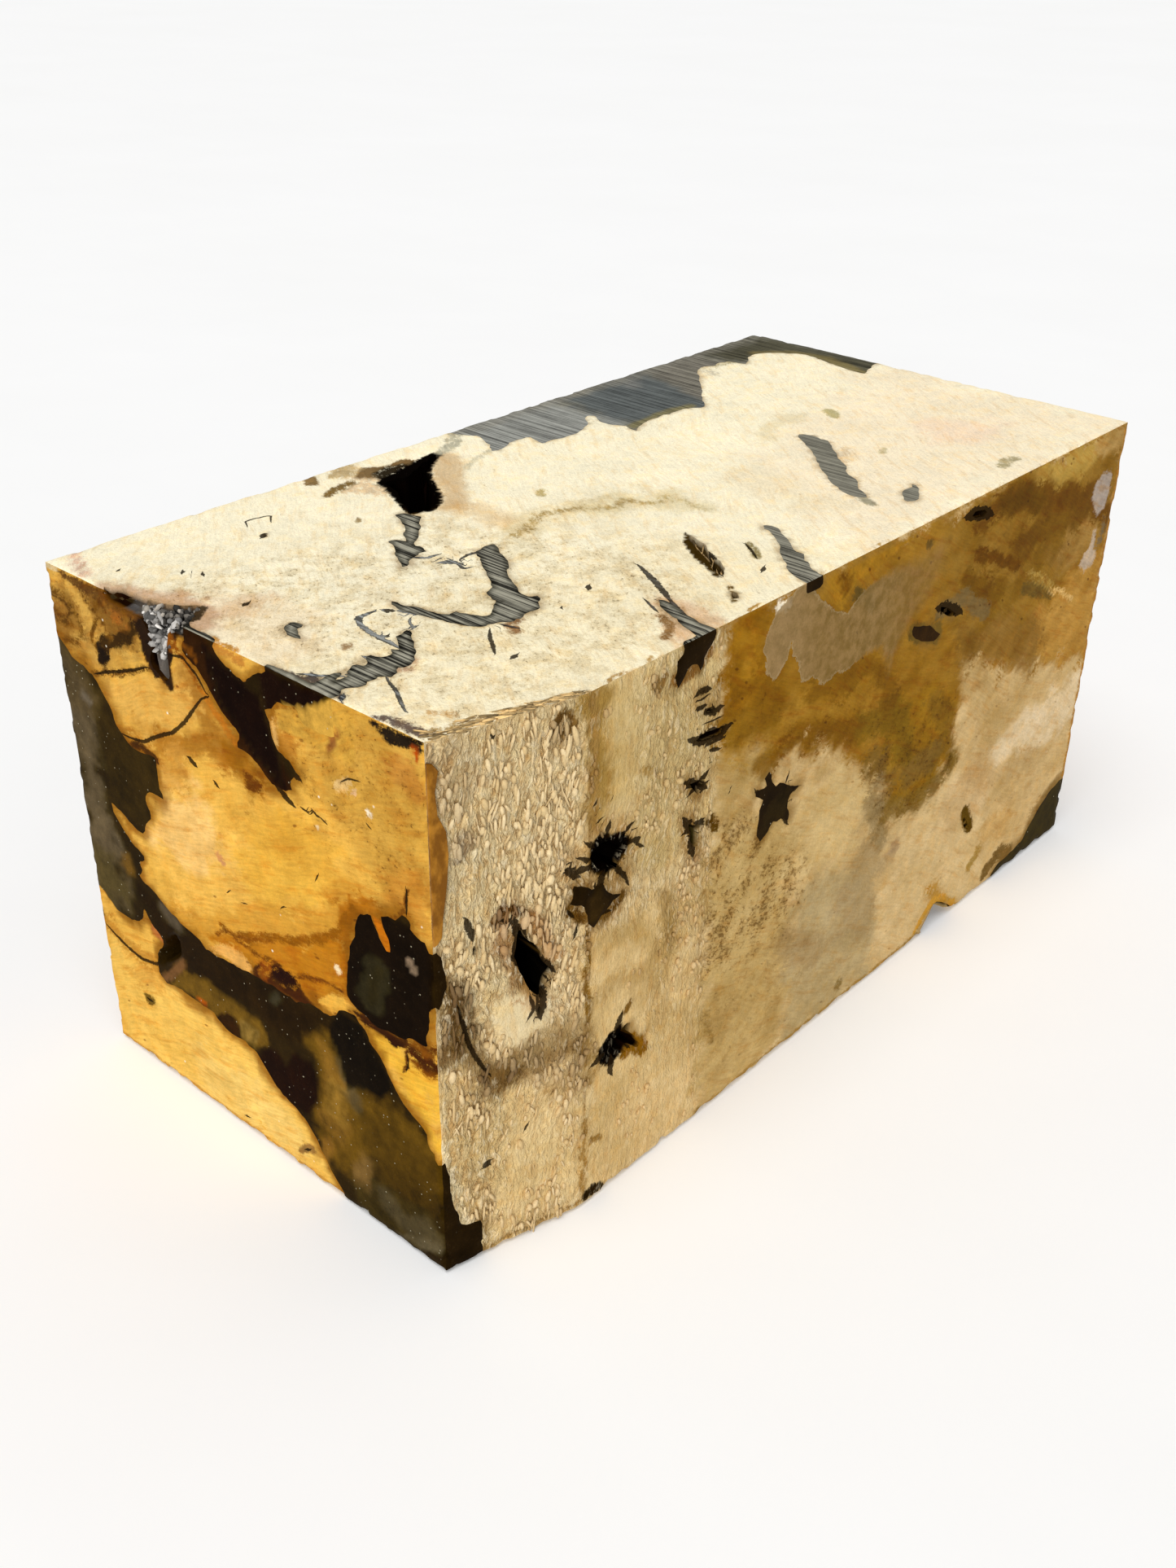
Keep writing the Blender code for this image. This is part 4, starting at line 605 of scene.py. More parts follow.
RESIN_STAINS = {"near": [
    ([(0, 63), (0, 25), (8, 26), (7, 34), (5, 42), (7, 55), (5, 62)], 4, (100, 87, 64), 0.95),
    ([(6, 66), (14, 57), (20, 56), (20, 50), (15, 44), (8, 45)], 2.5, (56, 44, 20), 0.9),
    ([(0, 67), (7, 65), (9, 59), (4, 57), (0, 58)], 3, (92, 77, 51), 0.7),
    ([(0, 34), (6, 34), (8, 28), (2, 25), (0, 26)], 2.5, (84, 72, 40), 0.8),
    ([(11, 32), (22, 29.4), (34, 29.4), (46, 31), (51, 29), (46, 24), (38, 22), (20, 22), (14, 26)], 2.5,
     (40, 30, 10), 1.0),
    ([(46, 9), (47.5, 16), (46, 24), (51, 28), (54, 22), (62, 22), (66, 24), (70.7, 20), (70.7, 12),
      (58, 12), (52, 4), (47, 4)], 2.6, (106, 79, 31), 0.95),
    ([(55, 17), (62, 19), (70.7, 17), (70.7, 8), (59, 6)], 3, (80, 60, 22), 0.85),
    ([(52, 4), (55, 11), (58, 10), (57, 4)], 2.2, (126, 98, 54), 0.75),
    ([(54, 0), (70.7, 0), (70.7, 8), (60, 8), (54, 4)], 2.5, (68, 56, 32), 0.9),
    ([(7.4, 36), (9, 36.8), (10.8, 35.2), (10.6, 33.6), (8.8, 32.6), (7.2, 34)], 1.6, (122, 90, 40), 0.75),
    ([(4.4, 59.6), (5.6, 59)], 0.3, 0.9, (108, 98, 80), 0.7),
    ([(15, 17), (19, 22), (26, 22.6), (36, 21.6), (38, 18), (35, 16.4), (28, 16), (20, 18)], 1.3,
     (114, 86, 35), 0.9),
    ([(26, 16.4), (28.6, 18.8), (31.6, 18), (31, 16)], 1.2, (52, 32, 6), 0.9),
    ([(32, 19.4), (35, 19.4), (34.6, 17), (32.4, 16.6)], 1.0, (140, 112, 54), 0.8),
    ([(14.2, 17.6), (16.6, 20), (19.4, 23)], 0.25, 0.6, (116, 82, 50), 0.9),
    ([(16.6, 30.4), (19.6, 29.2)], 0.4, 1.4, (96, 86, 70), 0.6),
    ([(22.6, 18.2), (23.6, 18)], 0.15, 0.3, (186, 92, 24), 1.0),
    ([(47.4, 26), (50.4, 26), (53.4, 21), (54, 14), (52, 9.4), (47.4, 9.6), (46.2, 12), (48, 15), (48, 20)],
     2.2, (130, 96, 40), 0.85),
    ([(49, 15), (50.6, 20), (53, 19), (52, 14)], 1.6, (154, 118, 50), 0.7),
    ([(61, 0), (70.7, 0), (70.7, 6), (66, 4.6)], 1.6, (44, 34, 18), 0.95),
    ([(60, 5), (64, 3), (68, 5.4)], 0.8, 2.0, (98, 88, 64), 0.5),
    ([(46.6, 3), (48.6, 8)], 0.3, 1.4, (150, 108, 46), 0.6),
    ([(34.8, 15), (37.6, 18.4), (39.4, 18.6), (41, 17), (43, 20.6), (46, 20.6), (47.4, 18), (47.4, 15),
      (45, 11), (40, 10.6), (37, 13)], 0.8, (33, 21, 5), 1.0),
    ([(50.6, 29), (53, 32.4), (57, 32.8), (60, 29), (62.6, 25), (60, 22.4), (56.4, 22.2), (53.6, 20.4),
      (52.6, 25)], 0.8, (26, 23, 12), 1.0),
    ([(55, 33), (70.7, 33), (70.7, 52), (55, 52)], 1.0, (28, 23, 11), 1.0),
    # Painted highlights on the resin: a soft pale streak in the dark blob, and a faint one in the right
    # pocket.
    ([(53.8, 20.8), (54.4, 24), (55, 27.6)], 0.3, 2.6, (82, 74, 54), 0.7),
    ([(59.2, 38), (60, 40.6), (60.8, 42.8)], 0.1, 1.8, (50, 46, 35), 0.4),
    ([(66.6, 46.5), (67.2, 46.1)], 0.05, 0.5, (168, 144, 114), 0.7),
    ([(39.6, 27.4), (40.6, 28.2)], 0.3, 0.9, (70, 66, 52), 0.6),
    ([(26, 77.2), (34, 77.2), (46, 66), (49, 62), (46, 60), (38, 63.4), (30, 72)], 1.5, (50, 31, 9), 0.95),
    ([(33, 75.6), (38, 73.8), (42.6, 73), (45, 67), (46, 62), (39, 66), (35, 70)], 1.2, (27, 18, 6), 0.95),
    ([(28.4, 75), (31, 73.8)], 0.1, 0.4, (128, 74, 20), 0.6),
    ([(42, 77.2), (56, 77.2), (54, 71), (44, 70)], 1.2, (30, 21, 9), 0.9),
    ([(45.4, 72), (48, 73.4), (51, 73.9), (54, 75.4), (56, 77.4), (60, 77.4), (59, 69), (46, 69)], 0.5,
     (222, 174, 74), 1.0),
], "top": [
    ([(64, 60), (95, 58), (96, 75.7), (64, 75.7)], 4, (141, 146, 142), 0.95),
    ([(95, 54), (112, 54), (120, 75.7), (96, 75.7)], 4, (90, 98, 100), 0.95),
    ([(114, 58), (134, 64), (134, 75.7), (118, 75.7)], 3, (120, 119, 110), 0.9),
    ([(133, 66), (146, 64), (146, 44), (152.4, 44), (152.4, 75.7), (134, 75.7)], 3.5, (78, 78, 66), 0.95),
    ([(64, 75.6), (150, 75.6)], 0.4, 3, (136, 136, 126), 0.5),
    ([(145, 47), (148, 56), (147, 63), (142, 67.6)], 0.6, 1.2, (118, 110, 76), 0.7),
    ([(94, 56.4), (102, 57.6), (109, 56.6)], 0.3, 1.0, (126, 122, 90), 0.7),
    ([(111, 70.4), (113, 72.4)], 0.4, 2.2, (126, 128, 124), 0.5),
], "front": [
    ([(55.6, 41), (56, 46), (60, 47.6), (63, 46), (61, 42), (58, 43)], 1.2, (42, 34, 17), 0.7),
    ([(21, 45), (20.6, 49), (23, 49.6), (25, 47)], 0.9, (46, 35, 15), 0.9),
    ([(90, 60), (98, 58)], 1.0, 1.0, (46, 32, 10), 0.95),
    ([(124, 0), (138, 4), (152.4, 12), (152.4, 0)], 1.6, (52, 44, 20), 0.9),
]}

# The hollow of a burst bubble in the resin of the near end: its outline and its depth.
BUBBLE_DEPTH = 4
BUBBLE = [(18.2, 27.1), (19.2, 26.6), (19.4, 25), (18.6, 23.6), (17, 22.2), (15, 20.8), (13.6, 20.4),
          (14.4, 22.4), (15.8, 24.2), (16.6, 26)]


def spread(*stretches):
    """Places along an edge, from (end, number of steps) stretches."""
    places = [0.0]
    for end, count in stretches:
        places += list(np.linspace(places[-1], end, count + 1)[1:])
    return np.array(places)


# How many steps the lattice of surface points has each way, and which of them along the length are
# at the ridge where the facet ends and at the edge of the wax.
NX, NY, NZ = 200, 116, 118
RIDGE, WAX_LINE = 38, 82
XS = spread((FACET_LENGTH, RIDGE), (WAX_EDGE, WAX_LINE - RIDGE), (LENGTH, NX - WAX_LINE))
YS, ZS = spread((WIDTH, NY)), spread((HEIGHT, NZ))

# Each patch: its face, its range of steps across and up, how coarse it is, and its grain's angle.
PATCHES = [
    ("top", 0, NX, 0, NY, 1, 52), ("near", 0, NY, 0, NZ, 1, 18), ("front", 0, RIDGE, 0, NZ, 1, 90),
    ("front", RIDGE, WAX_LINE, 0, NZ, 1, 90), ("front", WAX_LINE, NX, 0, NZ, 1, -28),
    ("back", 0, NX, 0, NZ, 2, 12), ("far", 0, NY, 0, NZ, 2, 30), ("under", 0, NX, 0, NY, 2, 8),
]


def lattice(paint, a, b):
    """Which lattice point of the block lies at a across and b up on a face."""
    fixed = np.zeros_like(a)
    return {
        "top": (a, b, fixed + NZ), "near": (fixed, NY - a, b), "front": (a, fixed, b),
        "back": (NX - a, fixed + NY, b), "far": (fixed + NX, a, b), "under": (a, NY - b, fixed),
    }[paint]


def drawn_at(paint, p):
    """Where a point lies in its face's drawing."""
    return {
        "top": p[:, [0, 1]], "near": np.column_stack([WIDTH - p[:, 1], p[:, 2]]), "front": p[:, [0, 2]],
        "back": p[:, [0, 2]], "far": p[:, [1, 2]], "under": p[:, [0, 1]],
    }[paint]


def place(i, j, k):
    front = FACET_DEPTH * np.clip(1 - XS[i] / FACET_LENGTH, 0, None)
    y = front + (WIDTH - front) * YS[j] / WIDTH
    return np.column_stack([XS[i], y, ZS[k]])


def outward(i, j, k):
    """The sum of the normals of the faces that a lattice point is on."""
    facet = np.array([-FACET_DEPTH, -FACET_LENGTH]) / math.hypot(FACET_DEPTH, FACET_LENGTH)
    normal = np.zeros((len(i), 3))
    slant = (j == 0) & (i < RIDGE)
    normal[slant, :2] += facet
    normal[(j == 0) & (i > RIDGE)] += (0, -1, 0)
    normal[(j == 0) & (i == RIDGE), :2] += (facet + (0, -1)) / 2
    normal[j == NY] += (0, 1, 0)
    normal[i == 0] += (-1, 0, 0)
    normal[i == NX] += (1, 0, 0)
    normal[k == 0] += (0, 0, -1)
    normal[k == NZ] += (0, 0, 1)
    return normal


def solid_of(node):
    """A CAD node in the drawing's millimetres, ready for distances and sight lines."""
    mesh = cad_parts[node].data
    points = [(v.co.x / MM + LENGTH / 2, v.co.y / MM + WIDTH / 2, v.co.z / MM) for v in mesh.vertices]
    tree = BVHTree.FromPolygons(points, [tuple(p.vertices) for p in mesh.polygons])
    low, high = np.min(points, axis=0), np.max(points, axis=0)
    return tree, low, high


# A slanting way out of a solid, how far past the skin the next look starts, and a safe end to it.
SIGHT_LINE, STEP_PAST, MOST_CROSSINGS = Vector((0.5714, 0.3137, 0.7583)), 1e-4, 60


def holds(tree, point):
    """Whether a closed solid holds a point: a line out of it crosses the skin an odd number of times."""
    start, crossed = point, 0
    while crossed < MOST_CROSSINGS:
        hit = tree.ray_cast(start, SIGHT_LINE)[0]
        if hit is None:
            break
        crossed += 1
        start = hit + SIGHT_LINE * STEP_PAST
    return crossed % 2 == 1


RESINS = sorted(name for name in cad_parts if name.startswith("resin_"))

# How far the edges of gaps wander from the solids' straight ones, and how near to a fill counts as in
# it. No point is nearer to an edge than LEAST, so that each is clearly on one side.
WANDER, FILL_REACH, LEAST = 0.42, 0.42, 0.02
# How deep an open gap is at least and at most, and where no solid tells its depth.
SHALLOWEST, DEEPEST, UNKNOWN_DEPTH = 0.5, 13.0, 3.0
# A small outline off every face.
NOWHERE = [(-9, -9), (-9, -8), (-8, -9)]


def find_gaps(points, normals, paint_name):
    """For each surface point: how far it is from a gap's edge, what fills the gap, and its depth."""
    wood, _, _ = solid_of("burl_wood")
    fills = [solid_of(name) for name in RESINS]
    pour = RESINS.index("resin_pour")
    _, bead_low, bead_high = solid_of("wax_bead")
    wander = np.column_stack([cloud(points, 1.7, 11 + n, 3) for n in range(3)]) * WANDER
    if paint_name == "top":
        wander[:, 1] += cloud(points, (0.9, 5, 9), 19, 1) * 0.5
    probes = points - PROBE * normals + wander
    uv = drawn_at(paint_name, points)
    bubble = (points[:, 0] < 0.01) & (into_area(drawn_at("near", points), BUBBLE) > -0.3)
    kept = np.max([into_area(uv, area) for area in KEPT.get(paint_name, [NOWHERE])], axis=0)
    kept = np.minimum(kept + wander[:, 0], points[:, 0] * 9 + 0.1 if paint_name == "top" else 99)
    distance = np.empty(len(points))
    filled = np.full(len(points), -1)
    depth = np.zeros(len(points))
    for n, probe in enumerate(probes):
        p = Vector(probe)
        away = wood.find_nearest(p)[3]
        if holds(wood, p) or ((probe > bead_low - 0.4) & (probe < bead_high + 0.4)).all():
            distance[n] = max(away, LEAST)
            continue
        distance[n] = -max(away, LEAST)
        if bubble[n]:
            filled[n] = pour
        for m, (tree, low, high) in enumerate(fills):
            if filled[n] < 0 and ((probe > low - 0.5) & (probe < high + 0.5)).all():
                if tree.find_nearest(p)[3] < FILL_REACH or holds(tree, p):
                    filled[n] = m
        if filled[n] >= 0:
            depth[n] = POCKET_WALL
            distance[n] = min(distance[n] + 0.15, -LEAST)
        else:
            inward = -Vector(normals[n])
            reach = wood.ray_cast(Vector(points[n]) - inward * 0.01, inward)[3]
            depth[n] = min(max(reach or UNKNOWN_DEPTH, SHALLOWEST), DEEPEST)
        if kept[n] > distance[n]:
            distance[n] = kept[n] if abs(kept[n]) > LEAST else -LEAST
            if distance[n] > 0:
                filled[n], depth[n] = -1, 0
    return distance, filled, depth


# Stains that are softer than this, in mm, belong to the ground colour of a face.
CRISP = {"top": 1.8, "near": 1.0, "front": 1.3, "back": 2.5, "far": 2.5, "under": 2.5}

# The darker wood round the gaps on each face: how far it reaches, how strong it is, and its colour.
RIM = {
    "top": (0.9, 0.65, (150, 120, 78)), "near": (2.4, 0.85, (138, 84, 20)),
    "front": (1.5, 0.7, (118, 86, 42)), "far": (2.2, 0.8, (124, 76, 20)),
    "back": (1.2, 0.6, (116, 84, 40)), "under": (1.2, 0.6, (116, 84, 40)),
}

# How far down the honey wood under thick wax reaches on the front: places along it, and heights there.
HONEY_EDGE = [45, 70, 91, 106, 130, 152], [57, 50, 31, 33, 42, 36]


def paint(uv, p, base, stains, crisp=2.5):
    """The ground colours, the crisper marks on them, and how fully the marks cover."""
    ground = np.tile(rgb(*base), (len(uv), 1))
    torn = cloud(p, (5, 5, 3), 101, 4)
    fray = cloud(p, (1.8, 1.8, 1.2), 103, 2)
    drift = np.column_stack([cloud(p, 3.4, 31, 3), cloud(p, 3.4, 47, 3)])
    fine = np.column_stack([cloud(p, 1.3, 61, 2), cloud(p, 1.3, 71, 2)])
    small = []
    for number, (points, *half_width, soft, shade, strength) in enumerate(stains):
        spots = np.asarray(points, float)
        margin = sum(half_width) + 2.2 * soft + 1
        near = ((uv > spots.min(0) - margin) & (uv < spots.max(0) + margin)).all(axis=1)
        if not near.any():
            continue
        at = uv[near] + drift[near] * min(0.45 * soft + 0.15, 1.8) + fine[near] * min(0.3 * soft, 0.5)
        if half_width:
            half, = half_width
            cover = 1 - smooth(half, half + 1.6 * soft, to_line(at, points)[0])
        else:
            cover = smooth(-soft, soft, into_area(at, points))
        if soft < crisp:
            small.append((near, cover, rgb(*shade), strength))
            continue
        cover = cover + (torn[near] * 1.5 + fray[near] * 0.7) * cover * (1 - cover) * 2
        patchy = 0.9 + 0.2 * noise(p[near], 0.9 + soft, 90 + number)
        cover = (smooth(0.05, 0.95, cover * patchy) * strength)[:, None]
        ground[near] = ground[near] * (1 - cover) + rgb(*shade) * cover
    marks = ground.copy()
    amount = np.zeros(len(uv))
    for near, cover, shade, strength in small:
        wide = smooth(0.02, 0.3, cover)[:, None]
        marks[near] = marks[near] * (1 - wide) + shade * wide
        amount[near] = np.maximum(amount[near] * (1 - cover * strength), cover * strength)
    return ground, marks, amount


def away_from(uv, spots):
    """How far each point is from the nearest of the spots."""
    best = np.full(len(uv), 99.0)
    batch = 64
    for n in range(0, len(spots), batch):
        gaps = uv[:, None] - spots[None, n:n + batch]
        best = np.minimum(best, np.sqrt((gaps ** 2).sum(axis=2).min(axis=1)))
    return best


def to_shown(tone):
    """The display colour of a linear one, out of 255."""
    tone = np.clip(tone, 0, 1)
    return 255 * np.where(tone < 0.0031308, tone * 12.92, 1.055 * tone ** (1 / 2.4) - 0.055)


def as_lit(colours, paint_name):
    """The colour that a surface must have for it to look as drawn under the studio light."""
    return np.maximum(colours - SHEEN, colours * 0.35) / LIGHT[paint_name]


def spread_of(uv, areas):
    """A value that soft-edged areas set, each over the last."""
    value = np.zeros(len(uv))
    for outline, soft, strength in areas:
        cover = smooth(-soft, soft, into_area(uv, outline))
        value = value * (1 - cover) + strength * cover
    return value


def crack_lines(uv, cracks):
    """The side, width and filling of the nearest thin line. The width ends where the line does."""
    side = np.full(len(uv), 5.0)
    width = np.zeros(len(uv))
    slate = np.zeros(len(uv))
    best = np.full(len(uv), FAR_OFF)
    for points, wide, grey in cracks:
        away, hand, along = to_line(uv, points)
        taper = np.minimum(1, 3.2 * np.minimum(along, 1 - along) + 0.25)
        ends = np.minimum(np.hypot(*(uv - points[0]).T), np.hypot(*(uv - points[-1]).T))
        beyond = ((along <= 0) | (along >= 1)) & (ends > 0.25)
        near = away < best
        best = np.where(near, away, best)
        side = np.where(near, away * hand, side)
        slate = np.where(near, grey, slate)
        width = np.where(near, np.where((away < 1.3) & ~beyond, wide * taper, 0), width)
    return side, width, slate


def surface_relief(paint_name, p, torn, seam):
    """Small inward dips, in mm: torn fibres, saw marks, and nicks along the edges."""
    dip = 0.05 * noise(p, 2.2, 3)
    if paint_name == "front":
        streaks = noise(p, (1.3, 1.3, 4.4), 17)
        strands = noise(p, (0.9, 1.0, 2.4), 29)
        clumps = noise(p, (5, 5, 9), 37)
        ridge = np.abs(2 * streaks - 1) * 0.6 + np.abs(2 * strands - 1) * 0.4
        dip = dip + torn * (0.05 + 0.8 * ridge * (0.4 + clumps))
    if paint_name == "top":
        dip = dip + 0.12 * smooth(0.6, 0.9, noise(p, 1.2, 43)) * (1 - smooth(60, 110, p[:, 0]))
    nicks = 0.06 + 0.4 * smooth(0.5, 1.0, noise(p, 1.7, 53)) + 0.12 * noise(p, 0.8, 59)
    return np.where(seam, nicks, dip)


# What each surface point carries, and how many numbers each takes up: its place on the face and at
# the gap's floor; the ground's colour with the slate of a crack, the colour down in a gap, darkened
# with depth as painted shade, the marks' colour with their cover; the resin's colour; coat, torn and
# flecks; side, width and film; the grain's place; the ground's colour a little astray; and the gap's depth.
SIZES = {"level": 3, "floor": 3, "tone": 4, "deep": 4, "mark": 4, "resin": 3, "state": 3, "lines": 3,
         "grain": 3, "astray": 3, "depth": 1}
STARTS = dict(zip(SIZES, np.cumsum([0] + list(SIZES.values()))))


def column(values, name):
    return values[:, STARTS[name]:STARTS[name] + SIZES[name]]


def three_of(name):
    """Where the first three numbers of a layer are in one point's row."""
    return slice(STARTS[name], STARTS[name] + 3)


# What the resin's drawn colours are multiplied by, and how far apart the grain of the faces is taken.
RESIN_TINT = (0.94, 0.88, 0.86)
GRAIN_APART = 10.0


def dress(patch, i, j, k):
    """Everything that a patch's points carry, in the columns of SIZES, and their gaps."""
    paint_name, first, angle = patch[0], patch[1], patch[-1]
    p, normal = place(i, j, k), outward(i, j, k)
    touched = (i == 0).astype(int) + (i == NX) + (j == 0) + (j == NY) + (k == 0) + (k == NZ)
    uv = drawn_at(paint_name, p)
    drawing = p, BASE[paint_name], STAINS.get(paint_name, []), CRISP[paint_name]
    ground, marks, amount = paint(uv, *drawing)
    beside = uv + np.column_stack([cloud(p, 2.6, 131, 3), cloud(p, 2.6, 137, 3)]) * 3.6
    astray = paint(beside, *drawing)[0]
    tint = np.ones((len(p), 3))
    if paint_name in ("near", "far", "front"):
        mottle = cloud(p, (7, 7, 5), 107, 3) * 0.16 + cloud(p, (1.6, 1.6, 1.1), 109, 2) * 0.1
        if paint_name == "front":
            waxed = smooth(45, 49, uv[:, 0]) * smooth(24, 50, uv[:, 1])
            mottle += cloud(p, (3.2, 3.2, 2), 113, 3) * 0.24 * waxed
        tint += mottle[:, None] * (0.8, 1.0, 1.5)
    resin, spots, spotted = paint(uv, p, RESIN_BASE[paint_name], RESIN_STAINS.get(paint_name, []))
    spotted = smooth(0.2, 0.8, spotted)[:, None]
    resin = resin * (1 - spotted) + spots * spotted
    coat = np.full(len(p), 1.0 if paint_name in ("near", "far") else 0.0)
    torn = np.zeros(len(p))
    film = np.full(len(p), -5.0)
    if paint_name == "front":
        torn = spread_of(uv, TORN)
        past_ridge = smooth(19.6, 20.6, uv[:, 0])[:, None]
        tint *= 1 + np.array((0.1, 0.12, 0.17)) * (1 - past_ridge)
        tint *= 1 + 0.05 * past_ridge * (1 - smooth(44, 46, uv[:, 0]))[:, None]
        honey = np.interp(uv[:, 0], *HONEY_EDGE)
        edge = WAX_EDGE + 0.5 * cloud(p, 3, 67, 2)
        coat = smooth(-0.5, 0.5, uv[:, 0] - edge) * (0.35 + 0.65 * smooth(-3, 3, uv[:, 1] - honey))
        film = np.max([into_area(uv, area) for area in FILMS], axis=0)
    flecks = spread_of(uv, FLECKS.get(paint_name, []))
    distance, filled, depth = find_gaps(p, normal, paint_name)
    if paint_name == "top":
        resin *= 1 - (0.7 * smooth(0.72, 0.1, -distance) * (uv[:, 0] < 62))[:, None]
    reach, strength, brown = RIM[paint_name]
    reach = reach * (0.2 + 1.6 * noise(p, 4.0, 77)) * (0.6 + 0.8 * noise(p, 1.1, 78))
    edge_points = uv[(distance < 0) & (distance > -0.6)]
    rim = (1 - smooth(0.1, 1, away_from(uv, edge_points) / reach))[:, None] * strength
    bare = rim * (1 - amount[:, None])
    ground, astray, marks = [c * (1 - r) + rgb(*brown) * r for c, r in
                             ((ground * tint, rim), (astray * tint, rim), (marks, bare))]
    side, width, slate = crack_lines(uv, CRACKS.get(paint_name, []))
    turn = math.radians(angle)
    along = uv[:, 0] * math.cos(turn) + uv[:, 1] * math.sin(turn)
    across = uv[:, 1] * math.cos(turn) - uv[:, 0] * math.sin(turn)
    bend = cloud(p, 16, 5, 2) * 2.4
    dip = surface_relief(paint_name, p, torn, touched > 1)
    dip = np.where((filled >= 0) & (touched < 2), 0.03, dip)
    if paint_name == "near":
        dip += np.where(filled >= 0, BUBBLE_DEPTH * smooth(-0.2, 1.2, into_area(uv, BUBBLE)), 0)
    level = p - dip[:, None] * normal
    rough = cloud(p, 1.6, 83, 2) * 0.3 * np.clip(depth - POCKET_WALL, 0, 1)
    floor = level - (depth + rough)[:, None] * normal
    # Painted shade in the gaps: the colour down in a gap goes from the marks' colour to near-black the
    # deeper it is, the FLOORS colours are laid over it, and the hidden wall beside a resin fill is darkened
    # to 0.3 of the marks.
    shade = np.clip(0.9 * np.exp(-depth * 1.6), 0.02, 1)[:, None]
    black = rgb(20, 14, 8) * (0.5 + 0.9 * noise(p, (1.6, 1.6, 2.4), 97))[:, None]
    deep = marks * shade + black * (1 - shade)
    for area, colour in FLOORS.get(paint_name, []):
        inside = smooth(-0.2, 0.2, into_area(uv, area)) * smooth(0.4, 0.9, depth)
        lit = rgb(*colour) * (0.35 + 1.1 * noise(p, (0.9, 1.4, 1.4), 98))[:, None]
        deep = deep * (1 - inside[:, None]) + lit * inside[:, None]
    deep = np.where((filled >= 0)[:, None], marks * 0.3, deep)
    columns = [
        level, floor, as_lit(ground, paint_name), slate, as_lit(deep, paint_name), slate * 0,
        as_lit(marks, paint_name), amount, as_lit(resin * RESIN_TINT, paint_name), coat, torn, flecks,
        side, width, film, along, across + bend, GRAIN_APART * len(paint_name) + (first >= WAX_LINE),
        as_lit(astray, paint_name), depth,
    ]
    columns = [np.full(len(p), c) if np.ndim(c) == 0 else c for c in columns]
    return np.column_stack(columns), distance, filled


def cut_patch(patch):
    """One face of the blank, cut along the edges of its gaps."""
    _, a0, a1, b0, b1, step, _ = patch
    rows = b1 - b0 + 1
    a, b = [m.ravel() for m in np.meshgrid(np.arange(a0, a1 + 1), np.arange(b0, b1 + 1), indexing="ij")]
    values, distance, filled = dress(patch, *lattice(patch[0], a, b))
    values, dist = list(values), list(distance)
    index = {}

    def number(aa, bb):
        return (aa - a0) * rows + bb - b0

    def crossing(u, v):
        """The point on a lattice edge where a gap begins, and its twin a little way in."""
        key = (min(u, v), max(u, v))
        if key not in index:
            t = dist[u] / (dist[u] - dist[v])
            mixed = values[u] * (1 - t) + values[v] * t
            inner = values[v] if dist[v] < 0 else values[u]
            depth = max(inner[-1], 1e-6)
            level, floor, deep = three_of("level"), three_of("floor"), three_of("deep")
            mixed[floor] = mixed[level] + (inner[floor] - inner[level]) * min(depth, POCKET_WALL) / depth
            # The rim has the marks' own colour, so that the wall below it is dark where they are.
            ink, mark = mixed[STARTS["mark"] + 3], mixed[three_of("mark")]
            for layer in (three_of("tone"), three_of("astray")):
                mixed[layer] = mixed[layer] * (1 - ink) + mark * ink
            # Painted shade down the wall: mostly the gap's dark colour inside, with a little of the rim's
            # colour, fading with depth.
            mixed[deep] = inner[deep] * 0.7 + mixed[deep] * 0.035 * math.exp(-depth / 2.5)
            index[key] = len(values)
            values.append(mixed)
            dist.append(0.0)
        return index[key]

    outside, inside, walls, labels = [], [], [], []
    for aa in range(a0, a1, step):
        for bb in range(b0, b1, step):
            ring = [number(aa + s, bb) for s in (range(step) if bb == b0 else [0])]
            ring += [number(aa + step, bb + s) for s in (range(step) if aa + step == a1 else [0])]
            ring += [number(aa + step - s, bb + step) for s in (range(step) if bb + step == b1 else [0])]
            ring += [number(aa, bb + step - s) for s in (range(step) if aa == a0 else [0])]
            signs = [dist[n] > 0 for n in ring]
            changes = sum(signs[n] != signs[n - 1] for n in range(len(ring)))
            if all(signs) or changes > 2:
                outside.append(ring)
                continue
            labels.append(filled[min(ring, key=lambda n: dist[n])])
            if not any(signs):
                inside.append(ring)
                continue
            out_ring, in_ring, cut_line = [], [], []
            for n, here in enumerate(ring):
                ahead = ring[(n + 1) % len(ring)]
                (out_ring if dist[here] > 0 else in_ring).append(here)
                if (dist[here] > 0) != (dist[ahead] > 0):
                    edge = crossing(here, ahead)
                    out_ring.append(edge)
                    in_ring.append(edge)
                    cut_line.append((edge, dist[here] > 0))
            outside.append(out_ring)
            inside.append(in_ring)
            start = [e for e, leaving in cut_line if leaving][0]
            end = [e for e, leaving in cut_line if not leaving][0]
            walls.append((start, end))
    return np.array(values), outside, inside, walls, labels


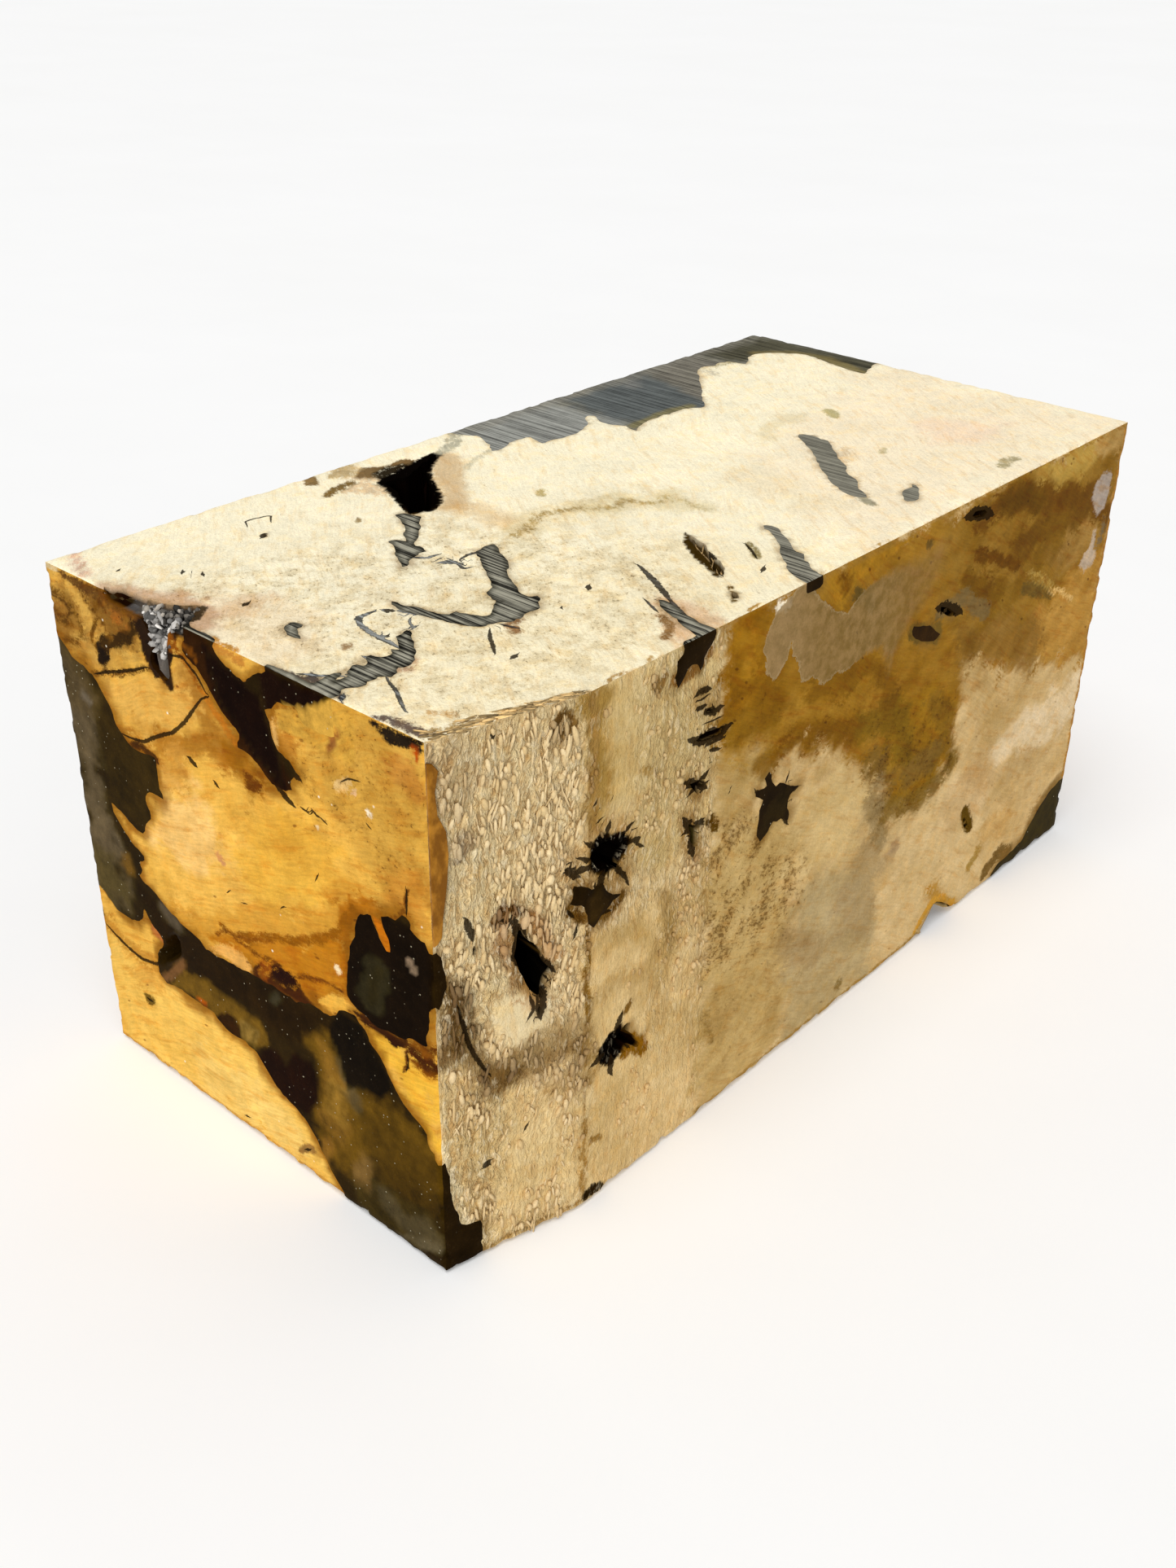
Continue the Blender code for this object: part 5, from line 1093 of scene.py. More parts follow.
def make_mesh(name, points, rings, layers):
    """A mesh from rings of corners. Points that share a place are joined, and layers stay on corners."""
    used = np.concatenate([np.asarray(r) for r in rings])
    keys, merged = np.unique(np.round(points[used], 3), axis=0, return_inverse=True)
    merged = merged.ravel()
    starts = np.cumsum([0] + [len(r) for r in rings])
    faces = [merged[s:e].tolist() for s, e in zip(starts[:-1], starts[1:])]
    mesh = bpy.data.meshes.new(name)
    shifted = (keys - (LENGTH / 2, WIDTH / 2, 0)) * MM
    mesh.from_pydata(shifted.tolist(), [], faces)
    for layer, data in layers.items():
        width = data.shape[1]
        kind, field = {1: ("FLOAT", "value"), 3: ("FLOAT_VECTOR", "vector"),
                       4: ("FLOAT_COLOR", "color")}[width]
        attribute = mesh.attributes.new(layer, kind, "CORNER")
        attribute.data.foreach_set(field, np.ascontiguousarray(data[used], np.float32).ravel())
    mesh.polygons.foreach_set("use_smooth", np.ones(len(faces), bool))
    mesh.update()
    return link(name, mesh)


def link(name, data):
    piece = bpy.data.objects.new(name, data)
    bpy.context.scene.collection.objects.link(piece)
    return piece


def select_only(piece):
    bpy.ops.object.select_all(action="DESELECT")
    piece.select_set(True)
    bpy.context.view_layer.objects.active = piece


# Edges between faces that meet at more than this many degrees stay sharp.
SHARP_ABOVE, BEAD_SHARP_ABOVE = 50, 60
# How thick the skin of a resin piece is, in mm.
RESIN_SKIN = 0.6


def smooth_by_angle(piece, degrees):
    select_only(piece)
    bpy.ops.object.shade_smooth_by_angle(angle=math.radians(degrees))


def make_blank():
    """The wood with its gaps, and every piece of resin, from the same cut faces."""
    points, wood_rings, resin_rings = [], [], {name: [] for name in RESINS}
    layers = {"tone": [], "mark": [], "state": [], "lines": [], "grain": [], "astray": []}
    resin_layers = {"tone": [], "sawn": []}
    offset = 0
    for patch in PATCHES:
        values, outside, inside, walls, labels = cut_patch(patch)
        count = len(values)
        points += [column(values, "level"), column(values, "floor")]
        for name in layers:
            layers[name].append(column(values, name))
        # The floors and walls of the gaps take the colour down in the gap, with its painted shade.
        below = {"tone": column(values, "deep"), "mark": column(values, "mark") * (1, 1, 1, 0),
                 "state": column(values, "state") * (0, 0, 0), "grain": column(values, "grain"),
                 "lines": column(values, "lines") * (1, 0, 0) - (0, 0, 5),
                 "astray": column(values, "deep")[:, :3]}
        for name in layers:
            layers[name].append(below[name])
        saw = 1.0 if patch[0] in ("top", "under", "back") else 0.0
        resin = np.column_stack([column(values, "resin"), np.ones(count)])
        resin_layers["tone"] += [resin, resin]
        resin_layers["sawn"].append(np.full((count * 2, 1), saw))
        for ring in outside:
            wood_rings.append([n + offset for n in ring])
        for ring, label in zip(inside, labels):
            wood_rings.append([n + offset + count for n in ring])
            if label >= 0:
                resin_rings[RESINS[label]].append([n + offset for n in ring])
        for start, end in walls:
            wood_rings.append([end + offset, start + offset, start + offset + count,
                               end + offset + count])
        offset += 2 * count
    points = np.concatenate(points)
    layers = {name: np.concatenate(parts) for name, parts in layers.items()}
    resin_layers = {name: np.concatenate(parts) for name, parts in resin_layers.items()}
    wood = make_mesh("burl_block", points, wood_rings, layers)
    smooth_by_angle(wood, SHARP_ABOVE)
    resins = []
    for name, rings in resin_rings.items():
        piece = make_mesh(name.replace("resin_", "cast_"), points, rings, resin_layers)
        select_only(piece)
        skin = piece.modifiers.new("Skin", "SOLIDIFY")
        skin.thickness = RESIN_SKIN * MM
        skin.offset = -1
        bpy.ops.object.modifier_apply(modifier=skin.name)
        smooth_by_angle(piece, SHARP_ABOVE)
        resins.append((piece, name))
    return wood, resins


class Socket:
    """A node's output that can be used in sums."""

    def __init__(self, finish, socket):
        self.finish, self.socket = finish, socket

    def sum(self, operation, first, second):
        return self.finish.add("ShaderNodeMath", {"operation": operation}, {0: first, 1: second})

    def __add__(self, other):
        return self.sum("ADD", self, other)

    def __sub__(self, other):
        return self.sum("SUBTRACT", self, other)

    def __rsub__(self, other):
        return self.sum("SUBTRACT", other, self)

    def __mul__(self, other):
        return self.sum("MULTIPLY", self, other)

    __radd__, __rmul__ = __add__, __mul__

    def high(self, other):
        return self.sum("MAXIMUM", self, other)

    def size(self):
        return self.sum("ABSOLUTE", self, 0)

    def step(self, low, high):
        """0 below low, 1 above high, smooth between."""
        settings = {"interpolation_type": "SMOOTHSTEP"}
        sockets = {"Value": self, "From Min": low, "From Max": high}
        return self.finish.add("ShaderNodeMapRange", settings, sockets)

    def swing(self, amount):
        """How far a noise is from its middle, times an amount."""
        return (self - 0.5) * amount


class Finish:
    """A material under construction. The fixed values are those of its shader that don't vary."""

    def __init__(self, name, fixed):
        self.material = bpy.data.materials.new(name)
        self.material.use_nodes = True
        self.tree = self.material.node_tree
        self.shader = self.tree.nodes["Principled BSDF"]
        for key, value in fixed.items():
            self.shader.inputs[key].default_value = value

    def add(self, kind, settings=None, sockets=None, out=0):
        node = self.tree.nodes.new(kind)
        for key, value in (settings or {}).items():
            setattr(node, key, value)
        for key, value in (sockets or {}).items():
            self.put(node.inputs[key], value)
        return Socket(self, node.outputs[out])

    def put(self, target, value):
        if isinstance(value, Socket):
            self.tree.links.new(value.socket, target)
        else:
            target.default_value = value

    def attribute(self, name, out):
        return self.add("ShaderNodeAttribute", {"attribute_name": name}, out=out)

    def stretched(self, vector, amounts):
        """A vector times three amounts, or times one amount each way."""
        amounts = amounts if isinstance(amounts, tuple) else (amounts,) * 3
        return self.add("ShaderNodeVectorMath", {"operation": "MULTIPLY"}, {0: vector, 1: amounts})

    def millimetres(self):
        """The place on the piece, in mm."""
        return self.stretched(self.add("ShaderNodeTexCoord", out="Object"), 1000)

    def noise(self, vector, amounts, detail, roughness, out="Fac"):
        """Noise over a stretched vector: the larger the amounts, the finer it is."""
        sockets = {"Vector": self.stretched(vector, amounts), "Scale": 1.0, "Detail": detail,
                   "Roughness": roughness}
        return self.add("ShaderNodeTexNoise", {}, sockets, out)

    def cells(self, vector, amounts, out="Distance", feature="F1"):
        sockets = {"Vector": self.stretched(vector, amounts), "Scale": 1.0}
        return self.add("ShaderNodeTexVoronoi", {"feature": feature}, sockets, out)

    def spots(self, vector, amounts, edge, chance, channel=0):
        """Scattered round spots with a soft edge, in those cells whose random value is past a chance."""
        round_spot = 1 - self.cells(vector, amounts).step(*edge)
        return round_spot * self.parts(self.cells(vector, amounts, "Color"))[channel].step(*chance)

    def shifted(self, vector, by, amount):
        settings = {"operation": "MULTIPLY_ADD"}
        return self.add("ShaderNodeVectorMath", settings, {0: by, 1: (amount,) * 3, 2: vector})

    def parts(self, vector):
        node = self.tree.nodes.new("ShaderNodeSeparateXYZ")
        self.put(node.inputs[0], vector)
        return [Socket(self, out) for out in node.outputs]

    def mix(self, factor, first, second, kind="MIX"):
        """Two colours mixed. The node's sockets for colours are 6 and 7, and 2 among its outputs."""
        settings = {"data_type": "RGBA", "blend_type": kind, "clamp_factor": True}
        return self.add("ShaderNodeMix", settings, {0: factor, 6: first, 7: second}, 2)

    def tinted_by(self, colour, factor, shade):
        """A colour multiplied by a tint, as far as the factor says: for stains and flecks, and for the
        painted shade in the hollows of torn fibres.
        """
        return self.mix(factor, colour, self.mix(1.0, colour, shown(*shade), "MULTIPLY"))

    def brighten(self, colour, amount):
        return self.add("ShaderNodeVectorMath", {"operation": "SCALE"}, {0: colour, "Scale": amount})

    def done(self, colour, roughness, height, coat=None):
        """Link what varies. The height is in millimetres."""
        self.put(self.shader.inputs["Base Color"], colour)
        self.put(self.shader.inputs["Roughness"], roughness)
        if coat is not None:
            self.put(self.shader.inputs["Coat Weight"], coat)
        bump = self.add("ShaderNodeBump", {}, {"Strength": 1.0, "Distance": MM, "Height": height})
        self.put(self.shader.inputs["Normal"], bump)
        return self.material


def shown(red, green, blue):
    return tuple(rgb(red, green, blue)) + (1.0,)


def burl_finish():
    """Dry sawn burl, torn fibres, and honey wood under wax, told apart by what the corners carry."""
    f = Finish("burl_wood_sawn_torn_and_waxed", {"Coat Roughness": 0.15, "Specular IOR Level": 0.0})
    tone, slate = f.attribute("tone", "Color"), f.attribute("tone", "Alpha")
    mark, amount = f.attribute("mark", "Color"), f.attribute("mark", "Alpha")
    coat, torn, crowd = f.parts(f.attribute("state", "Vector"))
    side, width, film = f.parts(f.attribute("lines", "Vector"))
    grain, astray = f.attribute("grain", "Vector"), f.attribute("astray", "Vector")
    at = f.millimetres()
    broad = f.noise(at, 0.11, 4, 0.6)
    middle = f.noise(at, 0.5, 5, 0.62)
    fibre = f.noise(grain, (0.32, 2.4, 1), 4, 0.6)
    speck = f.noise(at, 3.4, 3, 0.65)
    dry = 1 - coat

    # Marks keep ragged, grainy edges, and grains of the colour near by break up the ground.
    ragged = f.noise(grain, (0.55, 1.2, 1), 5, 0.68)
    grains = f.noise(grain, (0.8, 1.3, 1), 6, 0.72)
    tone = f.mix(grains.step(0.46, 0.58), tone, astray)
    cover = amount + ragged.swing(1.4) + speck.swing(0.9)
    colour = f.mix(cover.step(0.26, 0.74), tone, f.brighten(mark, 1 + middle.swing(0.8)))

    # Light and dark of the grain, thin wisps along it, and warmer streaks.
    level = 1 + broad.swing(0.26) + middle.swing(0.34) + fibre.swing(0.3 + 0.3 * coat)
    level = level + speck.swing(0.26 + 0.2 * dry)
    wave = f.shifted(grain, f.noise(at, 0.09, 3, 0.55, "Color"), 9)
    wisp = f.noise(wave, (0.3, 2.2, 1), 4, 0.62)
    level = level - (1 - (wisp - 0.5).size().step(0.0, 0.05)) * 0.06 + 0.03
    colour = f.brighten(colour, level)
    colour = f.tinted_by(colour, middle.step(0.46, 0.7) * 0.5, (250, 236, 208))
    streak = f.noise(grain, (0.16, 0.75, 1), 4, 0.6)
    colour = f.tinted_by(colour, streak.step(0.5, 0.68) * (0.3 + 0.3 * coat), (236, 208, 164))

    # Flecks: scattered ones everywhere, and crowds of dark ones where the wood is burled.
    grit = f.noise(grain, (1.2, 1.8, 1), 6, 0.78)
    gather = f.noise(at, 0.3, 5, 0.66)
    shade = crowd * (gather + grit.swing(0.5) - 0.42).step(0, 0.2)
    colour = f.tinted_by(colour, shade * 0.62, (206, 188, 152))
    limit = 0.7 - crowd * (0.12 + (gather - 0.4) * 0.5).high(0)
    flecks = (grit - limit).step(0, 0.12)
    colour = f.tinted_by(colour, flecks * 0.7, (146, 126, 90))
    holes = f.spots(grain, (0.3, 0.62, 1), (0.06, 0.16), (0.7, 0.72)) * (0.3 + 0.7 * coat)
    colour = f.tinted_by(colour, holes * 0.6, (140, 104, 54))

    # Torn fibres: curled crests with hollows between, running up the face. The crests are painted pale as a
    # painted highlight, and the hollows are painted brown as painted shade.
    bent = f.shifted(grain, f.noise(at, 0.55, 2, 0.5, "Color"), 1.6)
    strand = f.noise(bent, (0.45, 1.5, 1), 3, 0.55)
    thin = f.noise(bent, (1.0, 3.6, 1), 3, 0.6)
    chips = (0.5, 1.4, 1)
    lift = f.parts(f.cells(bent, chips, "Color"))[0]
    rim = 1 - f.cells(bent, chips, "Distance", "DISTANCE_TO_EDGE").step(0.0, 0.16)
    ridge = strand.swing(2.8) + thin.swing(1.8) + lift.swing(0.7) - rim * 0.35
    painted_hollow_shade = (0 - ridge).step(0.1, 0.75) * torn
    colour = f.tinted_by(colour, painted_hollow_shade * 0.5, (188, 154, 104))
    painted_crest_light = ridge.step(0.05, 0.6) * torn
    colour = f.mix(painted_crest_light * 0.5, colour, shown(252, 234, 196))

    # White dust caught in the wax.
    white = f.spots(at, 0.42, (0.04, 0.11), (0.83, 0.85), 1) * coat.step(0.6, 0.9)
    colour = f.mix(white * 0.8, colour, shown(250, 240, 216))

    # Thin open cracks, some with grey resin in them; the open ones are painted dark brown, as painted shade
    # inside them.
    jagged = f.noise(at, 1.9, 3, 0.65).swing(1.1)
    gap = (side + jagged * width).size() - width * 0.5
    crack = (1 - gap.step(-0.06, 0.08)) * width.step(0.01, 0.06)
    saw = f.noise(at, (1.9, 0.06, 0.3), 2, 0.5).step(0.42, 0.58)
    grey = f.mix(saw, shown(58, 62, 64), shown(150, 154, 154))
    colour = f.mix(crack * 0.93, colour, f.mix(slate, shown(34, 23, 10), grey))

    # The scraped film of wax on the front.
    right = f.parts(at)[0]
    torn_edge = film + f.noise(at, 0.9, 4, 0.65).swing(2.2)
    scraped = torn_edge.step(-0.06, 0.12 + right.step(-4, 16) * 3.4) * (1 - right.step(2, 20) * 0.5)
    dull = f.mix(middle.step(0.35, 0.65), shown(118, 93, 48), shown(142, 114, 70))
    dull = f.mix(right.step(-8, -18) * 0.3, dull, shown(166, 140, 102))
    dull = f.mix(torn_edge.step(0.4, 0.15) * 0.25, dull, shown(196, 174, 134))
    dull = f.mix(flecks * 0.6, f.brighten(dull, 1 + speck.swing(0.6)), shown(92, 68, 34))
    colour = f.mix(scraped * 0.9, colour, f.brighten(dull, 1.03))

    rough = 0.86 * dry + (0.24 + 0.2 * middle) * coat
    rough = rough + scraped * 0.25 + white * 0.3
    height = ridge * 0.36 * torn
    height = height + (speck * 0.13 + fibre * 0.1 + middle * 0.1 + wisp * 0.08) * dry
    height = height + (middle * 0.04 + speck * 0.008 + fibre * 0.01) * coat + white * 0.05 + scraped * 0.05
    height = height - crack * 0.5 - holes * 0.1 - flecks * 0.04
    return f.done(colour, rough, height, coat * (1 - 0.7 * crack) * 0.06)


def resin_finish():
    """Black cast resin: glossy and cloudy where it is waxed, grey with saw lines where it is sawn."""
    f = Finish("cast_resin_sawn_and_waxed", {"Specular IOR Level": 0.005})
    tone, sawn = f.attribute("tone", "Color"), f.attribute("sawn", "Fac")
    waxed = 1 - sawn
    at = f.millimetres()
    cloudy = f.noise(at, 0.16, 4, 0.6)
    wisps = f.noise(at, 0.55, 5, 0.65)
    grit = f.noise(at, 3.1, 2, 0.6)
    cuts = f.noise(at, (2.5, 0.05, 0.3), 2, 0.5)
    fine_cuts = f.noise(at, (5.5, 0.1, 1), 1, 0.4)
    plain = f.parts(at)[0].step(-22, 6) * 0.72
    level = 1 + cloudy.swing(1.1 * waxed + 0.3) + wisps.swing(0.7 + 0.6 * waxed) + grit.swing(0.4)
    lines = cuts.step(0.36, 0.62).swing(1.5) * (1 - plain) + fine_cuts.swing(1.2)
    colour = f.brighten(tone, (level + sawn * (lines + cuts.swing(0.9))).high(0.1))
    white = f.spots(at, 1.05, (0.06, 0.15), (0.7, 0.95)) * waxed
    colour = f.mix(white * 0.7, colour, shown(190, 180, 150))
    dusty = grit.step(0.56, 0.72) * wisps.step(0.42, 0.6) * waxed
    colour = f.mix(dusty * 0.035, colour, shown(130, 110, 74))
    rough = 0.5 * sawn + (0.2 + 0.25 * wisps) * waxed + white * 0.3
    height = sawn * (cuts * 0.11 * (1 - 0.6 * plain) + fine_cuts * 0.03 + grit * 0.02)
    height = height + waxed * (wisps * 0.02) + white * 0.05
    return f.done(colour, rough, height)


def wax_finish():
    """Thick amber wax with lighter, cloudy places."""
    f = Finish("amber_wax", {"Coat Weight": 0.12, "Coat Roughness": 0.1, "Specular IOR Level": 0.02})
    cloudy = f.noise(f.millimetres(), (0.5, 0.5, 0.28), 4, 0.6)
    colour = f.mix(cloudy.step(0.4, 0.66), shown(120, 74, 10), shown(172, 116, 34))
    return f.done(colour, 0.22 + 0.1 * cloudy, cloudy * 0.12)


def floor_finish():
    f = Finish("pale_floor", {})
    dusty = f.noise(f.millimetres(), 0.009, 3, 0.5)
    colour = f.mix(dusty, shown(250, 250, 249), shown(253, 253, 253))
    return f.done(colour, 0.8, dusty)


# The camera: its lens and sensor in mm, its azimuth, elevation and roll in degrees, and its place in
# the drawing's millimetres, as the seven corners of the blank give them.
LENS, SENSOR, NEAREST = 37.77, 36, 0.01
CAMERA_TURN = (-48.751, 30.305, 0.870)
CAMERA_PLACE = (-101.32, -106.71, 160.05)


def set_camera():
    camera = bpy.data.cameras.new("view")
    camera.sensor_fit = "VERTICAL"
    camera.sensor_height = SENSOR
    camera.lens = LENS
    camera.clip_start = NEAREST
    holder = link("view", camera)
    bpy.context.scene.camera = holder
    az, el, roll = [math.radians(v) for v in CAMERA_TURN]
    back = Vector((math.sin(az) * math.cos(el), -math.cos(az) * math.cos(el), math.sin(el)))
    right = (-back).cross(Vector((0, 0, 1))).normalized()
    up = right.cross(-back)
    across = math.cos(roll) * right + math.sin(roll) * up
    over = -math.sin(roll) * right + math.cos(roll) * up
    turn = Matrix((across, over, back)).transposed().to_4x4()
    x, y, z = CAMERA_PLACE
    turn.translation = Vector((x - LENGTH / 2, y - WIDTH / 2, z)) * MM
    holder.matrix_world = turn


def add_sun(name, toward, strength, spread_angle):
    """Even light from a wide source, so that the floor stays the same brightness all over."""
    light = bpy.data.lights.new(name, "SUN")
    light.energy = strength
    light.angle = math.radians(spread_angle)
    holder = link(name, light)
    holder.rotation_euler = (-Vector(toward)).to_track_quat("-Z", "Y").to_euler()


# The suns: where each stands, its strength, and how wide it is in degrees.
SUNS = {"overhead": ((-0.35, -0.15, 1.0), 1.42, 40), "side": ((-1.0, -0.62, 0.5), 1.5, 18)}
# How strongly the world lights the blank, and how bright it shows past the floor's end, where it is
# as pale as the floor.
SKY_LIGHT, SKY_SHOWN = 0.4, 0.97
# The floor's size, and how far below the blank it lies so that the two don't touch, in metres.
FLOOR_SIZE, FLOOR_DROP = 30, 0.0005


def set_studio():
    world = bpy.data.worlds.new("studio")
    bpy.context.scene.world = world
    world.use_nodes = True
    nodes = world.node_tree.nodes
    glow = nodes["Background"]
    glow.inputs["Color"].default_value = (1, 1, 1, 1)
    strength = nodes.new("ShaderNodeMapRange")
    strength.inputs["To Min"].default_value = SKY_LIGHT
    strength.inputs["To Max"].default_value = SKY_SHOWN
    world.node_tree.links.new(nodes.new("ShaderNodeLightPath").outputs["Is Camera Ray"],
                              strength.inputs["Value"])
    world.node_tree.links.new(strength.outputs["Result"], glow.inputs["Strength"])
    bpy.context.scene.view_settings.view_transform = "Standard"
    for name, settings in SUNS.items():
        add_sun(name, *settings)
    bpy.ops.object.select_all(action="DESELECT")
    bpy.ops.mesh.primitive_grid_add(x_subdivisions=8, y_subdivisions=8, size=FLOOR_SIZE,
                                    location=(0, 0, -FLOOR_DROP))
    floor = bpy.context.object
    floor.name = "floor"
    floor.data.transform(floor.matrix_world)
    floor.matrix_world = Matrix.Identity(4)
    floor.data.materials.append(floor_finish())


# The wax bead: its outline on the facet, from the corner edge, then in mm how thick it is, how round
# its rim is, and how far it stands off. Points nearer than the last, in metres, are one point.
WAX_BEAD = [(0.1, 74.6), (0.8, 74.4), (1.5, 73.4), (1, 71), (1.2, 68), (2.2, 65.6), (2.4, 62.6),
            (2.1, 59), (1.5, 55), (1.2, 52), (0.6, 51.2), (0.1, 51)]
BEAD_THICK, BEAD_ROUND, BEAD_LIFT = 0.1, 0.16, 0.08
SAME_POINT = 0.00001


def make_wax_bead(finish):
    """The bead of wax that ran down beside the corner edge, on the facet."""
    curve = bpy.data.curves.new("wax_run", "CURVE")
    curve.dimensions = "2D"
    curve.fill_mode = "BOTH"
    curve.extrude = BEAD_THICK * MM
    curve.bevel_depth = BEAD_ROUND * MM
    curve.bevel_resolution = 3
    curve.offset = -BEAD_ROUND * MM
    spline = curve.splines.new("POLY")
    spline.points.add(len(WAX_BEAD) - 1)
    for point, (u, v) in zip(spline.points, WAX_BEAD):
        point.co = (u * MM, v * MM, 0, 1)
    spline.use_cyclic_u = True
    across = Vector((FACET_LENGTH, -FACET_DEPTH, 0)).normalized()
    outward_way = across.cross(Vector((0, 0, 1)))
    turn = Matrix((across, Vector((0, 0, 1)), outward_way)).transposed().to_4x4()
    corner = Vector((0, FACET_DEPTH, 0)) - Vector((LENGTH / 2, WIDTH / 2, 0))
    turn.translation = (corner + outward_way * BEAD_LIFT) * MM
    drawn = link("wax_run_line", curve)
    mesh = bpy.data.meshes.new_from_object(drawn)
    bpy.data.objects.remove(drawn)
    mesh.transform(turn)
    bead = link("wax_run", mesh)
    select_only(bead)
    bpy.ops.object.mode_set(mode="EDIT")
    bpy.ops.mesh.select_all(action="SELECT")
    bpy.ops.mesh.remove_doubles(threshold=SAME_POINT)
    bpy.ops.mesh.normals_make_consistent(inside=False)
    bpy.ops.object.mode_set(mode="OBJECT")
    bead.data.materials.clear()
    bead.data.materials.append(finish)
    smooth_by_angle(bead, BEAD_SHARP_ABOVE)
    return bead


def fibre_finish():
    f = Finish("loose_fibres_and_crumbs", {"Specular IOR Level": 0.05})
    grit = f.noise(f.millimetres(), 3.0, 3, 0.6)
    colour = f.brighten(f.attribute("tone", "Color"), 0.7 + grit * 0.6)
    return f.done(colour, 0.85, grit * 0.06)


def make_seed(across, thick):
    """The corners and faces of one chip: a small ball drawn out along x, that wide and that thick."""
    bpy.ops.object.select_all(action="DESELECT")
    bpy.ops.mesh.primitive_ico_sphere_add(subdivisions=1, radius=0.5)
    bpy.ops.transform.resize(value=(1.1, across, thick))
    bpy.ops.object.transform_apply(scale=True)
    seed = bpy.context.object
    corners = np.array([v.co for v in seed.data.vertices])
    rings = [list(face.vertices) for face in seed.data.polygons]
    bpy.data.objects.remove(seed)
    return corners, rings


def dimmed(colour, light):
    return tuple(light * part for part in colour)


def scatter(name, seed, spots):
    """One mesh of many chips: each has a place, three directions with their sizes, and a colour."""
    corners, rings = seed
    points = np.concatenate([spot[0] + corners @ spot[1] for spot in spots])
    tones = np.repeat([np.append(rgb(*spot[2]), 1.0) for spot in spots], len(corners), axis=0)
    count = len(corners)
    faces = [[n + k * count for n in ring] for k in range(len(spots)) for ring in rings]
    return make_mesh(name, points, faces, {"tone": tones})


def chip_at(spot, normal, along, dice, length, width, rise):
    """The place and directions of one chip that lies on a face, one end a little raised."""
    normal, along = Vector(normal), Vector(along)
    lean = dice.normal(0, 0.22)
    along = (along + normal.cross(along) * lean + normal * dice.uniform(0.0, rise)).normalized()
    side = normal.cross(along).normalized()
    up = along.cross(side)
    sizes = (along * length, side * width, up * width * dice.uniform(0.6, 1.1))
    return np.array(spot) + np.array(normal) * dice.uniform(-0.1, 0.12), np.array(sizes)


# How many places for a chip are tried on the front, and how many chips lie on the top's worn corner
# and in its slit. Their palest colours follow.
FRONT_TRIES, CORNER_CHIPS, SLIT_CHIPS = 4600, 150, 60
FRONT_PALE, CORNER_PALE, SLIT_PALE = (252, 234, 194), (204, 172, 118), (200, 166, 112)
UP = (0, 0, 1.0)


